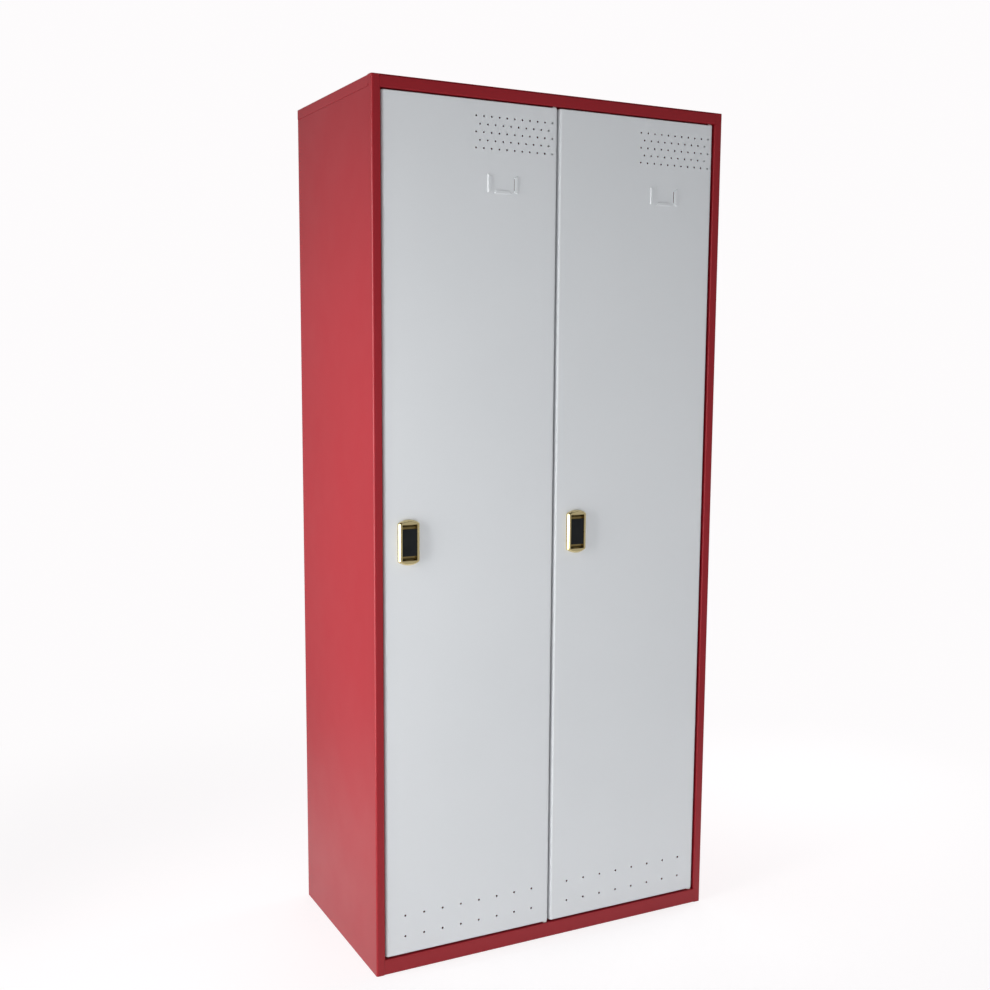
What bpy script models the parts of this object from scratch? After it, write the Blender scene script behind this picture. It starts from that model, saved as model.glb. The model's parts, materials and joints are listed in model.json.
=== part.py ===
"""Two-door steel locker with inset doors on hidden pivots and card-operated locks.

Lengths are in metres. +Z is up and the front faces -Y. The origin is on the floor,
under the middle of the whole locker with its locks. Both doors hang on their right
edge, so one set of door meshes serves both.
"""

from math import acos, atan2, cos, pi, radians, sin, sqrt, tan

import bmesh
import bpy
from mathutils import Matrix, Vector

# Carcass
carcass_width = 0.900
carcass_depth = 0.500
carcass_height = 2.000
sheet = 0.0012
bend_radius = 0.0010
corner_bend_radius = 0.0032
seat_gap = 0.0003
overrun = 0.004

# Front frame
jamb_width = 0.021
stop_lip_width = 0.016
top_rail_height = 0.0265
bottom_rail_height = 0.0365
rail_top_return = 0.022
ledge_foot = 0.016

# Side panels and top cover
rear_flange_width = 0.018
floor_flange_width = 0.015
cover_skirt_height = 0.024
cover_lip_width = 0.012
front_strip_width = 0.018
relief_radius = 0.0022

# Floor, partition and back
floor_rise = 0.016
floor_rear_drop = 0.020
floor_side_drop = 0.015
partition_face_width = 0.029
partition_rear_flange = 0.012
back_rib_width = 0.026
back_rib_depth = 0.003
back_rib_foot = 0.140
back_rib_head = 0.500
back_rib_round_share = 0.9
back_rib_x_shares = (-0.34, -0.17, 0.17, 0.34)

# Shelves and hanging rods
shelf_drop = 0.360
shelf_setback = 0.014
shelf_front_drop = 0.022
shelf_front_return = 0.012
shelf_rear_drop = 0.016
runner_drop = 0.018
runner_ledge = 0.014
runner_inset = 0.050
rod_drop = 0.085
rod_radius = 0.011
rod_wall = 0.0012
rod_cup_radius = 0.019
rod_cup_plate = 0.0022
rod_collar_wall = 0.0028
rod_collar_length = 0.014

# Doors
door_depth = 0.020
door_recess = 0.003
door_sheet = 0.0010
door_edge_radius = 0.007
door_end_radius = 0.002
door_back_lip = 0.014
door_gap_side = 0.0035
door_gap_middle = 0.0040
door_gap_top = 0.0030
door_gap_bottom = 0.0035
stiffener_width = 0.060
stiffener_crown = 0.034
stiffener_foot = 0.140
stiffener_head = 0.250
buffer_radius = 0.0045
buffer_height = 0.0016
buffer_end_distance = 0.230

# Vent holes and the perforated field at the top of each door
vent_radius = 0.0024
vent_pitch = 0.047
vent_row_pitch = 0.050
vent_columns = 8
vent_rows = 2
vent_lowest = 0.0825
field_radius = 0.0022
field_pitch = 0.0190
field_row_pitch = 0.0170
field_columns = 11
field_rows = 5
field_edge_margin = 0.014
field_top_margin = 0.034

# Card holder on each door: two ribs and a lip, each sheared open along its shorter edge
holder_offset = 0.074
holder_drop = 0.2025
holder_rib_width = 0.0105
holder_rib_length = 0.043
holder_rib_open_length = 0.032
holder_rib_pitch = 0.066
holder_lip_height = 0.008
holder_lip_length = 0.045
holder_lip_open_length = 0.033
holder_proud = 0.0028
holder_round_share = 0.8
holder_slit = 0.0010

# Hidden pivots
pin_radius = 0.0030
pin_reach = 0.014
pin_tip = 0.0008
running_gap = 0.0003
pivot_plate_side = 0.015
pivot_plate = 0.0020
bush_wall = 0.0011
bush_flange_radius = 0.0060
bush_flange = 0.0010
bush_length = 0.012

# Locks
lock_height = 1.004
lock_inset = 0.0567
lock_width = 0.050
lock_length = 0.102
lock_rise = 0.008
lock_corner = 0.0055
lock_corner_least_share = 0.33
lock_proud = 0.011
lock_wall_height = 0.0070
lock_soft_edge = 0.0008
lock_bevel = 0.0032
lock_window_inset = 0.0070
lock_window_end_inset = 0.0104
lock_window_depth = 0.0052
glass_length = 0.061
glass_thickness = 0.0032
cup_radius = 0.0080
case_width = 0.060
case_length = 0.112
case_left = 0.0215
case_back = 0.0455
case_edge = 0.003
neck_width = 0.032
neck_length = 0.078
cut_clearance = 0.001
battery_cover_width = 0.046
battery_cover_length = 0.062
battery_cover_thickness = 0.0024
battery_cover_drop = 0.020
grip_rib_height = 0.0009
grip_rib_width = 0.0022
grip_rib_pitch = 0.0046
grip_ribs = 4
bolt_throw = 0.013
bolt_guided = 0.017
bolt_depth = 0.008
bolt_height = 0.016
bolt_proud = 0.002
bolt_chamfer = 0.0015
bolt_setback = 0.035
keeper_sheet = 0.0015
keeper_length = 0.056
keeper_leg = 0.0130
keeper_depth = 0.0175
keeper_slot_clearance = 0.001

# Smoothness of round forms, in sides and in steps of an arc
pin_sides = 16
rod_sides = 16
vent_sides = 10
field_sides = 6
bend_steps = 2
edge_steps = 6
arch_steps = 8
corner_steps = 3
smooth_angle = radians(38)

# Places that follow from the sizes
half_width = carcass_width / 2
front_y = (lock_proud - door_recess) / 2 - carcass_depth / 2
back_y = front_y + carcass_depth
stop_y = front_y + door_recess + door_depth + buffer_height + 2 * seat_gap
jamb_inner_x = half_width - jamb_width
jamb_flat_x = jamb_inner_x + bend_radius + sheet
lip_edge_x = jamb_inner_x - stop_lip_width
wall_inner_x = half_width - sheet
opening_bottom = bottom_rail_height
opening_top = carcass_height - top_rail_height
roof_under = carcass_height - sheet - seat_gap
seam_z = carcass_height - cover_skirt_height
skirt_front_y = front_y + front_strip_width
back_panel_rear = back_y - sheet - seat_gap
back_panel_front = back_panel_rear - sheet
floor_z = opening_bottom + floor_rise
shelf_height = carcass_height - shelf_drop
rod_height = shelf_height - rod_drop
hem = 2 * sheet
web_x = sheet / 2
door_bottom = opening_bottom + door_gap_bottom
door_top = opening_top - door_gap_top
holder_bottom = door_top - holder_drop
door_width = jamb_inner_x - door_gap_side - door_gap_middle / 2
axis_y = front_y + door_recess + door_edge_radius
left_axis_x = -door_gap_middle / 2 - door_edge_radius
right_axis_x = jamb_inner_x - door_gap_side - door_edge_radius
axis_places = {"left": left_axis_x, "right": right_axis_x}

# The same places in a door's own frame, whose origin is on its pivot axis
door_left = door_edge_radius - door_width
door_right = door_edge_radius
door_face = -door_edge_radius
door_rear = door_depth - door_edge_radius
skin_inner = door_face + door_sheet
lock_x = door_left + lock_inset
case_x = door_left + case_left
bolt_y = bolt_setback - door_recess - door_edge_radius
case_rear = case_back - door_recess - door_edge_radius
bolt_length = bolt_throw + bolt_guided

red_paint = (0.50, 0.045, 0.065, 1)
grey_paint = (0.62, 0.63, 0.64, 1)
gold = (0.83, 0.60, 0.25, 1)
black_glass = (0.012, 0.012, 0.014, 1)
black_plastic = (0.03, 0.03, 0.032, 1)
steel = (0.60, 0.60, 0.61, 1)
white_nylon = (0.80, 0.80, 0.77, 1)
black_rubber = (0.02, 0.02, 0.02, 1)


def make_material(name, colour, roughness, metallic):
    material = bpy.data.materials.new(name)
    material.use_nodes = True
    shader = material.node_tree.nodes["Principled BSDF"]
    shader.inputs["Base Color"].default_value = colour
    shader.inputs["Roughness"].default_value = roughness
    shader.inputs["Metallic"].default_value = metallic
    return material


def box(low, high):
    """A box between two corners."""
    form = bmesh.new()
    bmesh.ops.create_cube(form, size=1)
    low, high = Vector(low), Vector(high)
    bmesh.ops.scale(form, verts=form.verts, vec=high - low)
    return moved(form, (low + high) / 2)


def prism(outline, axis, start, end):
    """An outline pushed along an axis. Its pairs are (x, y), (y, z) or (x, z)."""
    place = {
        "Z": lambda u, v, w: (u, v, w),
        "X": lambda u, v, w: (w, u, v),
        "Y": lambda u, v, w: (u, w, v),
    }[axis]
    form = bmesh.new()
    rings = [[form.verts.new(place(u, v, w)) for u, v in outline] for w in (start, end)]
    form.faces.new(rings[0])
    form.faces.new(reversed(rings[1]))
    stitch(form, rings[0], rings[1])
    return outward(form)


def stitch(form, ring, following):
    """Joins two rings of as many points with a band of faces."""
    count = len(ring)
    for i in range(count):
        j = (i + 1) % count
        form.faces.new((ring[i], ring[j], following[j], following[i]))


def loft(rings):
    """A closed solid through rings of points, with flat ends."""
    form = bmesh.new()
    bands = [[form.verts.new(point) for point in ring] for ring in rings]
    form.faces.new(bands[0])
    form.faces.new(reversed(bands[-1]))
    for ring, following in zip(bands, bands[1:]):
        stitch(form, ring, following)
    return outward(form)


def outward(form):
    bmesh.ops.recalc_face_normals(form, faces=form.faces)
    return form


def turned(profile, sides, axis="Z"):
    """A solid of revolution. The profile's pairs are (radius, height).

    A profile that starts and ends on the axis makes a full solid, and one that stays
    off it makes a ring.
    """
    form = bmesh.new()
    rings = []
    for radius, height in profile:
        if radius == 0:
            rings.append([form.verts.new((0, 0, height))])
            continue
        turns = [2 * pi * i / sides for i in range(sides)]
        rings.append([form.verts.new((radius * cos(t), radius * sin(t), height)) for t in turns])
    pairs = list(zip(rings, rings[1:]))
    if len(rings[0]) > 1:
        pairs.append((rings[-1], rings[0]))
    for ring, following in pairs:
        for i in range(sides):
            j = (i + 1) % sides
            corners = [ring[i % len(ring)], ring[j % len(ring)]]
            corners += [following[j % len(following)], following[i % len(following)]]
            distinct = list(dict.fromkeys(corners))
            if len(distinct) > 2:
                form.faces.new(distinct)
    if axis == "X":
        bmesh.ops.rotate(form, verts=form.verts, matrix=Matrix.Rotation(pi / 2, 3, "Y"))
    if axis == "Y":
        bmesh.ops.rotate(form, verts=form.verts, matrix=Matrix.Rotation(-pi / 2, 3, "X"))
    return outward(form)


def moved(form, offset):
    bmesh.ops.translate(form, verts=form.verts, vec=Vector(offset))
    return form


def gathered(forms):
    """Several separate bodies in one form."""
    whole = bmesh.new()
    for form in forms:
        mesh = bpy.data.meshes.new("piece")
        form.to_mesh(mesh)
        form.free()
        whole.from_mesh(mesh)
        bpy.data.meshes.remove(mesh)
    return whole


def mirrored(form):
    """The same form on the other side of the YZ plane."""
    bmesh.ops.scale(form, verts=form.verts, vec=Vector((-1, 1, 1)))
    bmesh.ops.reverse_faces(form, faces=form.faces)
    return form


def rounded(form, chosen, radius, steps):
    """Rounds the edges for which chosen(first corner, second corner) holds."""
    edges = [edge for edge in form.edges if chosen(edge.verts[0].co, edge.verts[1].co)]
    bmesh.ops.bevel(
        form, geom=edges, offset=radius, segments=steps, affect="EDGES", profile=0.5
    )
    return form


def folded(path, thickness, radii=None, steps=bend_steps):
    """The section of a sheet folded along a path of its outer face.

    The sheet lies to the left of the path. radii are the inside radii of its bends,
    which are all bend_radius where none are given.
    """
    radii = radii or [bend_radius] * len(path)
    points = [Vector(point) for point in path]
    outer, inner = [], []
    for i, point in enumerate(points):
        ahead = (points[min(i + 1, len(points) - 1)] - points[i]).normalized()
        behind = (points[i] - points[max(i - 1, 0)]).normalized()
        if i == 0 or i == len(points) - 1:
            run = ahead if i == 0 else behind
            outer.append(point)
            inner.append(point + thickness * Vector((-run.y, run.x)))
            continue
        left = behind.x * ahead.y - behind.y * ahead.x > 0
        turn = acos(max(-1, min(1, behind.dot(ahead))))
        face_radius = radii[i - 1] + (thickness if left else 0)
        back_radius = radii[i - 1] + (0 if left else thickness)
        side = 1 if left else -1
        normal = side * Vector((-behind.y, behind.x))
        centre = point - behind * face_radius * tan(turn / 2) + normal * face_radius
        for step in range(steps + 1):
            spoke = -normal
            spoke.rotate(Matrix.Rotation(side * turn * step / steps, 2))
            outer.append(centre + spoke * face_radius)
            inner.append(centre + spoke * back_radius)
    return outer + inner[::-1]


def arched(half, crown, arc, corner):
    """A lock's outline: straight sides, arched ends and rounded corners."""
    arc_centre = crown - arc
    reach = sqrt((arc - corner) ** 2 - (half - corner) ** 2)
    corner_centre = Vector((half - corner, arc_centre + reach))
    tangent = atan2(reach, half - corner)
    quarter = [
        corner_centre + corner * Vector((cos(tangent * i / corner_steps), sin(tangent * i / corner_steps)))
        for i in range(corner_steps + 1)
    ]
    spans = [tangent + (pi / 2 - tangent) * i / arch_steps * 2 for i in range(1, arch_steps)]
    arch = [Vector((arc * cos(t), arc_centre + arc * sin(t))) for t in spans]
    top = quarter + arch + [Vector((-point.x, point.y)) for point in reversed(quarter)]
    return top + [Vector((-point.x, -point.y)) for point in top]


def solid(name, form, material, parent=None, location=(0, 0, 0)):
    """Makes the object that becomes the node of this name."""
    mesh = bpy.data.meshes.new(name)
    form.to_mesh(mesh)
    form.free()
    piece = bpy.data.objects.new(name, mesh)
    bpy.context.scene.collection.objects.link(piece)
    piece.location = location
    piece.parent = parent
    mesh.materials.append(material)
    return piece


def combined(piece, tool_form, operation):
    """Adds a form to a piece or takes it away, and keeps the result as its mesh."""
    tool = solid("tool", tool_form, piece.data.materials[0], piece.parent, piece.location)
    modifier = piece.modifiers.new("boolean", "BOOLEAN")
    modifier.operation = operation
    modifier.solver = "EXACT"
    modifier.object = tool
    graph = bpy.context.evaluated_depsgraph_get()
    result = bpy.data.meshes.new_from_object(piece.evaluated_get(graph))
    piece.modifiers.remove(modifier)
    old_mesh, tool_mesh = piece.data, tool.data
    result.name = old_mesh.name
    piece.data = result
    bpy.data.objects.remove(tool)
    bpy.data.meshes.remove(tool_mesh)
    bpy.data.meshes.remove(old_mesh)
    return piece


def cut(piece, form):
    return combined(piece, form, "DIFFERENCE")


def add(piece, form):
    return combined(piece, form, "UNION")


def smooth(piece):
    piece.data.shade_smooth()
    piece.data.set_sharp_from_angle(angle=smooth_angle)
    return piece


def pressing(low, high, radius):
    """A pressed swelling: a block with all edges rounded but those of its +Y side."""
    form = box(low, high)
    base_y = high[1]
    off_base = lambda a, b: abs(a.y - base_y) > seat_gap or abs(b.y - base_y) > seat_gap
    return rounded(form, off_base, radius, bend_steps)


def side_panel(name, side, material):
    """Side, jamb, return and door stop are one folded sheet."""
    path = [
        (rear_flange_width - half_width, back_y),
        (-half_width, back_y),
        (-half_width, front_y),
        (-jamb_inner_x, front_y),
        (-jamb_inner_x, stop_y),
        (-lip_edge_x, stop_y),
    ]
    radii = [bend_radius, corner_bend_radius, bend_radius, bend_radius]
    outline = folded(path, sheet, radii, corner_steps)
    panel = solid(name, prism(outline, "Z", 0, roof_under), material)
    top_lip = box(
        (-wall_inner_x - sheet / 2, skirt_front_y + sheet, seam_z - seat_gap - sheet),
        (cover_lip_width - half_width, back_panel_front - seat_gap, seam_z - seat_gap),
    )
    floor_flange = box(
        (-wall_inner_x - sheet / 2, front_y + sheet / 2, 0),
        (floor_flange_width - half_width, back_y - sheet / 2, sheet),
    )
    add(panel, gathered([top_lip, floor_flange]))
    above_seam = box(
        (-half_width - overrun, skirt_front_y - seat_gap, seam_z - seat_gap),
        (0, back_y + overrun, carcass_height + overrun),
    )
    cut(panel, above_seam)
    rail_low, rail_high = front_y - overrun, stop_y + sheet + overrun
    beside_top_rail = box(
        (-jamb_flat_x, rail_low, opening_top - seat_gap), (0, rail_high, carcass_height)
    )
    beside_bottom_rail = box(
        (-jamb_flat_x, rail_low, -overrun), (0, rail_high, opening_bottom + seat_gap)
    )
    cut(panel, gathered([beside_top_rail, beside_bottom_rail]))
    cut(panel, moved(relief(), (-half_width, 0, 0)))
    if side > 0:
        form = bmesh.new()
        form.from_mesh(panel.data)
        mirrored(form).to_mesh(panel.data)
        form.free()
    return smooth(panel)


def relief():
    """The small round relief where the cover's skirt meets the front bend."""
    profile = [(0, -overrun), (relief_radius, -overrun), (relief_radius, overrun), (0, overrun)]
    return moved(turned(profile, vent_sides, "X"), (0, skirt_front_y, seam_z + relief_radius))


def top_cover(material):
    """An inverted tray with side skirts, a rear skirt and inward lips."""
    path = [
        (half_width - cover_lip_width, seam_z),
        (half_width, seam_z),
        (half_width, carcass_height),
        (-half_width, carcass_height),
        (-half_width, seam_z),
        (cover_lip_width - half_width, seam_z),
    ]
    outline = folded(path, sheet)
    cover = solid("top_cover", prism(outline, "Y", skirt_front_y, back_y), material)
    brow = box(
        (-half_width, front_y, carcass_height - sheet),
        (half_width, skirt_front_y + overrun, carcass_height),
    )
    front_corner = lambda a, b: abs(a.z - b.z) > sheet / 2 and a.y < skirt_front_y
    rounded(brow, front_corner, corner_bend_radius + sheet, corner_steps)
    rear_skirt = box(
        (-half_width + sheet / 2, back_y - sheet, seam_z),
        (half_width - sheet / 2, back_y, carcass_height - sheet / 2),
    )
    add(cover, brow)
    add(cover, rear_skirt)
    for side in (-1, 1):
        cut(cover, moved(relief(), (side * half_width, 0, 0)))
    return smooth(cover)


def pivot_holes(low, high):
    radius = pin_radius + running_gap
    profile = [(0, low), (radius, low), (radius, high), (0, high)]
    return gathered(
        [moved(turned(profile, pin_sides), (x, axis_y, 0)) for x in axis_places.values()]
    )


def top_rail(material):
    path = [
        (front_y + rail_top_return, roof_under),
        (front_y, roof_under),
        (front_y, opening_top),
        (stop_y, opening_top),
        (stop_y, opening_top - stop_lip_width),
    ]
    outline = folded(path, sheet)
    end_x = jamb_flat_x - seat_gap
    rail = solid("top_rail", prism(outline, "X", -end_x, end_x), material)
    for side in (-1, 1):
        near_x, far_x = lip_edge_x - seat_gap, half_width
        low_x, high_x = sorted((side * near_x, side * far_x))
        beside = box(
            (low_x, front_y + sheet + overrun, opening_top - stop_lip_width - overrun),
            (high_x, stop_y + sheet + overrun, opening_top),
        )
        cut(rail, beside)
    cut(rail, pivot_holes(opening_top - overrun, opening_top + sheet + overrun))
    return smooth(rail)


def bottom_rail(material):
    path = [
        (stop_y + ledge_foot, opening_bottom),
        (front_y, opening_bottom),
        (front_y, 0),
        (front_y + floor_flange_width, 0),
    ]
    outline = folded(path, sheet)
    end_x = jamb_flat_x - seat_gap
    rail = solid("bottom_rail", prism(outline, "X", -end_x, end_x), material)
    cut(rail, pivot_holes(opening_bottom - sheet - overrun, opening_bottom + overrun))
    return smooth(rail)


def tray_section(front, rear, top, front_drop, front_return, rear_drop):
    """The section of a shelf or floor, from its rear flange to its front return."""
    path = [
        (rear, top - rear_drop),
        (rear, top),
        (front, top),
        (front, top - front_drop),
        (front + front_return, top - front_drop),
    ]
    return folded(path, sheet)


def floor_panel(material):
    """The compartments' floor. Its front flange is the lower door stop."""
    rear = back_panel_front - seat_gap
    drop = floor_z - opening_bottom - seat_gap
    foot = ledge_foot - seat_gap
    outline = tray_section(stop_y, rear, floor_z, drop, foot, floor_rear_drop)
    end_x = wall_inner_x - seat_gap
    panel = solid("floor_panel", prism(outline, "X", -end_x, end_x), material)
    for side in (-1, 1):
        low_x, high_x = sorted((side * (end_x - sheet), side * end_x))
        flange = box(
            (low_x, stop_y + sheet + ledge_foot, floor_z - floor_side_drop),
            (high_x, rear - sheet - overrun, floor_z - sheet / 2),
        )
        add(panel, flange)
        low_x, high_x = sorted((side * (lip_edge_x - seat_gap), side * half_width))
        notch = box(
            (low_x, front_y, 0), (high_x, stop_y + sheet + seat_gap, floor_z + overrun)
        )
        cut(panel, notch)
        ledge_clear = box(
            (low_x, front_y, 0), (high_x, stop_y + ledge_foot + overrun, floor_z - sheet)
        )
        cut(panel, ledge_clear)
    return smooth(panel)


def centre_partition(material):
    """One web with a hemmed face at the front that both doors close against."""
    face = partition_face_width / 2
    rear = back_panel_front - seat_gap
    outline = [
        (-face, stop_y),
        (face, stop_y),
        (face, stop_y + hem),
        (web_x, stop_y + hem),
        (web_x, rear - sheet),
        (web_x + partition_rear_flange, rear - sheet),
        (web_x + partition_rear_flange, rear),
        (-web_x, rear),
        (-web_x, stop_y + hem),
        (-face, stop_y + hem),
    ]
    form = prism(outline, "Z", floor_z + seat_gap, roof_under)
    on_hem = lambda a, b: abs(a.z - b.z) > hem and abs(a.x) > face - seat_gap
    rounded(form, on_hem, sheet / 2, bend_steps)
    partition = solid("centre_partition", form, material)
    behind_rail = box(
        (-face - overrun, front_y, opening_top - stop_lip_width - seat_gap),
        (face + overrun, stop_y + hem + seat_gap, carcass_height),
    )
    cut(partition, behind_rail)
    return smooth(partition)


def back_panel(material):
    """A flat sheet, stiffened by long swages pressed towards the inside."""
    end_x = wall_inner_x - bend_radius
    panel = solid(
        "back_panel",
        box((-end_x, back_panel_front, sheet + seat_gap), (end_x, back_panel_rear, seam_z - seat_gap)),
        material,
    )
    half_rib = back_rib_width / 2
    rib_low, rib_high = back_rib_foot, carcass_height - back_rib_head
    soft = back_rib_depth * back_rib_round_share
    ribs, hollows = [], []
    for share in back_rib_x_shares:
        x = share * carcass_width
        ribs.append(
            pressing(
                (x - half_rib, back_panel_front - back_rib_depth, rib_low),
                (x + half_rib, back_panel_front + sheet / 2, rib_high),
                soft,
            )
        )
        hollows.append(
            pressing(
                (x - half_rib + sheet, back_panel_rear - back_rib_depth, rib_low + sheet),
                (x + half_rib - sheet, back_panel_rear + overrun, rib_high - sheet),
                soft - sheet,
            )
        )
    add(panel, gathered(ribs))
    cut(panel, gathered(hollows))
    return smooth(panel)


def compartment(side):
    """The inner x limits of the compartment on this side."""
    return sorted((side * (wall_inner_x - seat_gap), side * (web_x + seat_gap)))


def shelf(name, side, material):
    rear = back_panel_front - sheet - 2 * seat_gap
    front = stop_y + shelf_setback
    outline = tray_section(
        front, rear, shelf_height, shelf_front_drop, shelf_front_return, shelf_rear_drop
    )
    low_x, high_x = compartment(side)
    return smooth(solid(name, prism(outline, "X", low_x, high_x), material))


def shelf_runner(name, side, outer, material):
    """An angle along one wall of a compartment, on which the shelf lies."""
    top = shelf_height - sheet - seat_gap
    low_x, high_x = compartment(side)
    front = stop_y + shelf_setback + runner_inset
    rear = back_panel_front - runner_inset
    path = [(runner_ledge, top), (0, top), (0, top - runner_drop)]
    angle = prism(folded(path, sheet), "Y", front, rear)
    at_low = (side < 0) == outer
    placed = moved(angle, (low_x, 0, 0)) if at_low else moved(mirrored(angle), (high_x, 0, 0))
    return smooth(solid(name, placed, material))


def hanging_rod(name, side, material):
    low_x, high_x = compartment(side)
    seat = rod_cup_plate + seat_gap
    inner = rod_radius - rod_wall
    profile = [
        (inner, low_x + seat),
        (rod_radius, low_x + seat),
        (rod_radius, high_x - seat),
        (inner, high_x - seat),
    ]
    return smooth(solid(name, moved(turned(profile, rod_sides, "X"), (0, 0, rod_height)), material))


def rod_cup(name, side, outer, material):
    """A flanged cup that holds one end of a rod."""
    low_x, high_x = compartment(side)
    bore = rod_radius + seat_gap
    collar = bore + rod_collar_wall
    chamfer = rod_cup_plate / 2
    profile = [
        (0, 0),
        (rod_cup_radius, 0),
        (rod_cup_radius, chamfer),
        (rod_cup_radius - chamfer, rod_cup_plate),
        (collar, rod_cup_plate),
        (collar, rod_collar_length - chamfer),
        (collar - chamfer, rod_collar_length),
        (bore, rod_collar_length),
        (bore, rod_cup_plate),
        (0, rod_cup_plate),
    ]
    cup = turned(profile, rod_sides, "X")
    at_low = (side < 0) == outer
    if not at_low:
        cup = mirrored(cup)
    return smooth(solid(name, moved(cup, (low_x if at_low else high_x, 0, rod_height)), material))


def pivot_pin(name, x, upper, material):
    """A pin on a plate, set through the rail's return into the door's bush."""
    if upper:
        plate_low = opening_top + sheet + seat_gap
        tip = door_top - pin_reach
        low, high = tip, plate_low + pivot_plate / 2
        profile = [
            (0, low), (pin_radius - pin_tip, low), (pin_radius, low + pin_tip),
            (pin_radius, high), (0, high),
        ]
    else:
        plate_low = opening_bottom - sheet - seat_gap - pivot_plate
        tip = door_bottom + pin_reach
        low, high = plate_low + pivot_plate / 2, tip
        profile = [
            (0, low), (pin_radius, low), (pin_radius, high - pin_tip),
            (pin_radius - pin_tip, high), (0, high),
        ]
    half = pivot_plate_side / 2
    plate = box((-half, -half, plate_low), (half, half, plate_low + pivot_plate))
    upright = lambda a, b: abs(a.z - b.z) > pivot_plate / 2
    rounded(plate, upright, pivot_plate, bend_steps)
    pin = solid(name, plate, material, location=(x, axis_y, 0))
    return smooth(add(pin, turned(profile, pin_sides)))


def ring(name, inner, outer, low, high, material, parent=None, location=(0, 0, 0)):
    profile = [(inner, low), (outer, low), (outer, high), (inner, high)]
    return smooth(solid(name, turned(profile, pin_sides), material, parent, location))


def bush_outer():
    return pin_radius + running_gap + bush_wall


def pivot_bush(name, upper, material, parent):
    """A flanged nylon bush in the door's end flange."""
    bore = pin_radius + running_gap
    outer = bush_outer()
    if upper:
        face = door_top + seat_gap
        profile = [
            (bore, face + bush_flange), (bore, face - bush_length),
            (outer, face - bush_length), (outer, face),
            (bush_flange_radius, face), (bush_flange_radius, face + bush_flange),
        ]
    else:
        face = door_bottom - seat_gap
        profile = [
            (bore, face - bush_flange), (bush_flange_radius, face - bush_flange),
            (bush_flange_radius, face), (outer, face),
            (outer, face + bush_length), (bore, face + bush_length),
        ]
    return smooth(solid(name, turned(profile, pin_sides), material, parent))


def door_block(inset):
    """The door's outer form, or its inner one when inset by the sheet."""
    form = box(
        (door_left + inset, door_face + inset, door_bottom + inset),
        (door_right - inset, door_rear - inset, door_top - inset),
    )
    upright = lambda a, b: abs(a.z - b.z) > door_depth
    at_front = lambda a, b: upright(a, b) and a.y < 0
    at_rear = lambda a, b: upright(a, b) and a.y > door_rear - inset - seat_gap
    rounded(form, at_front, door_edge_radius - inset, edge_steps)
    rounded(form, at_rear, door_end_radius - inset, bend_steps)
    low, high = door_bottom + inset + seat_gap, door_top - inset - seat_gap
    on_ends = lambda a, b: (a.z > high and b.z > high) or (a.z < low and b.z < low)
    rounded(form, on_ends, door_end_radius - inset, bend_steps)
    return form


def holes(places, radius, sides):
    """Round cutters through a door's front sheet."""
    low, high = door_face - overrun, skin_inner + overrun
    profile = [(0, low), (radius, low), (radius, high), (0, high)]
    return gathered([moved(turned(profile, sides, "Y"), (x, 0, z)) for x, z in places])


def vent_places():
    centre = (door_left + door_right) / 2
    first = centre - vent_pitch * (vent_columns - 1) / 2
    return [
        (first + vent_pitch * column, vent_lowest + vent_row_pitch * row)
        for row in range(vent_rows)
        for column in range(vent_columns)
    ]


def field_places():
    """Staggered rows, so every other row has one hole fewer."""
    last = door_right - field_edge_margin
    top = door_top - field_top_margin
    places = []
    for row in range(field_rows):
        shift = field_pitch / 2 * (row % 2)
        for column in range(field_columns - row % 2):
            places.append((last - shift - field_pitch * column, top - field_row_pitch * row))
    return places


def holder_x():
    return (door_left + door_right) / 2 + holder_offset


def louvre(length, open_length, width, inset, place):
    """A pressed swelling on a trapezoid, or its hollow when inset.

    place(along, across, y) puts a point on the door. across is 0 at the long edge, and
    width at the short one.
    """
    slope = (open_length - length) / 2 / width
    end_inset = inset * sqrt(1 + slope**2)

    def outline(narrower, y):
        low, high = inset + narrower, width - inset - narrower
        spread = end_inset + narrower * sqrt(1 + slope**2)
        corners = [(-1, low), (1, low), (1, high), (-1, high)]
        halves = [length / 2 + slope * across - spread for sign, across in corners]
        return [
            place(sign * half, across, y) for (sign, across), half in zip(corners, halves)
        ]

    joined = skin_inner - door_sheet / 2 if inset == 0 else skin_inner + overrun
    crown = door_face - holder_proud + inset
    soft = holder_proud * holder_round_share - inset
    stages = [(0, joined), (0, crown + soft), (soft / 3, crown + soft / 3), (soft, crown)]
    return loft([outline(narrower, y) for narrower, y in stages])


def holder_rib_middle():
    return holder_bottom + holder_rib_length / 2


def holder_forms(inset):
    """The card holder's two ribs and its lip, or their hollows when inset."""
    reach = (holder_rib_pitch + holder_rib_width) / 2

    def on_left(along, across, y):
        return holder_x() - reach + across, y, holder_rib_middle() + along

    def on_right(along, across, y):
        return holder_x() + reach - across, y, holder_rib_middle() + along

    def on_lip(along, across, y):
        return holder_x() + along, y, holder_bottom + across

    rib = (holder_rib_length, holder_rib_open_length, holder_rib_width, inset)
    lip = (holder_lip_length, holder_lip_open_length, holder_lip_height, inset)
    return gathered([louvre(*rib, on_left), louvre(*rib, on_right), louvre(*lip, on_lip)])


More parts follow.
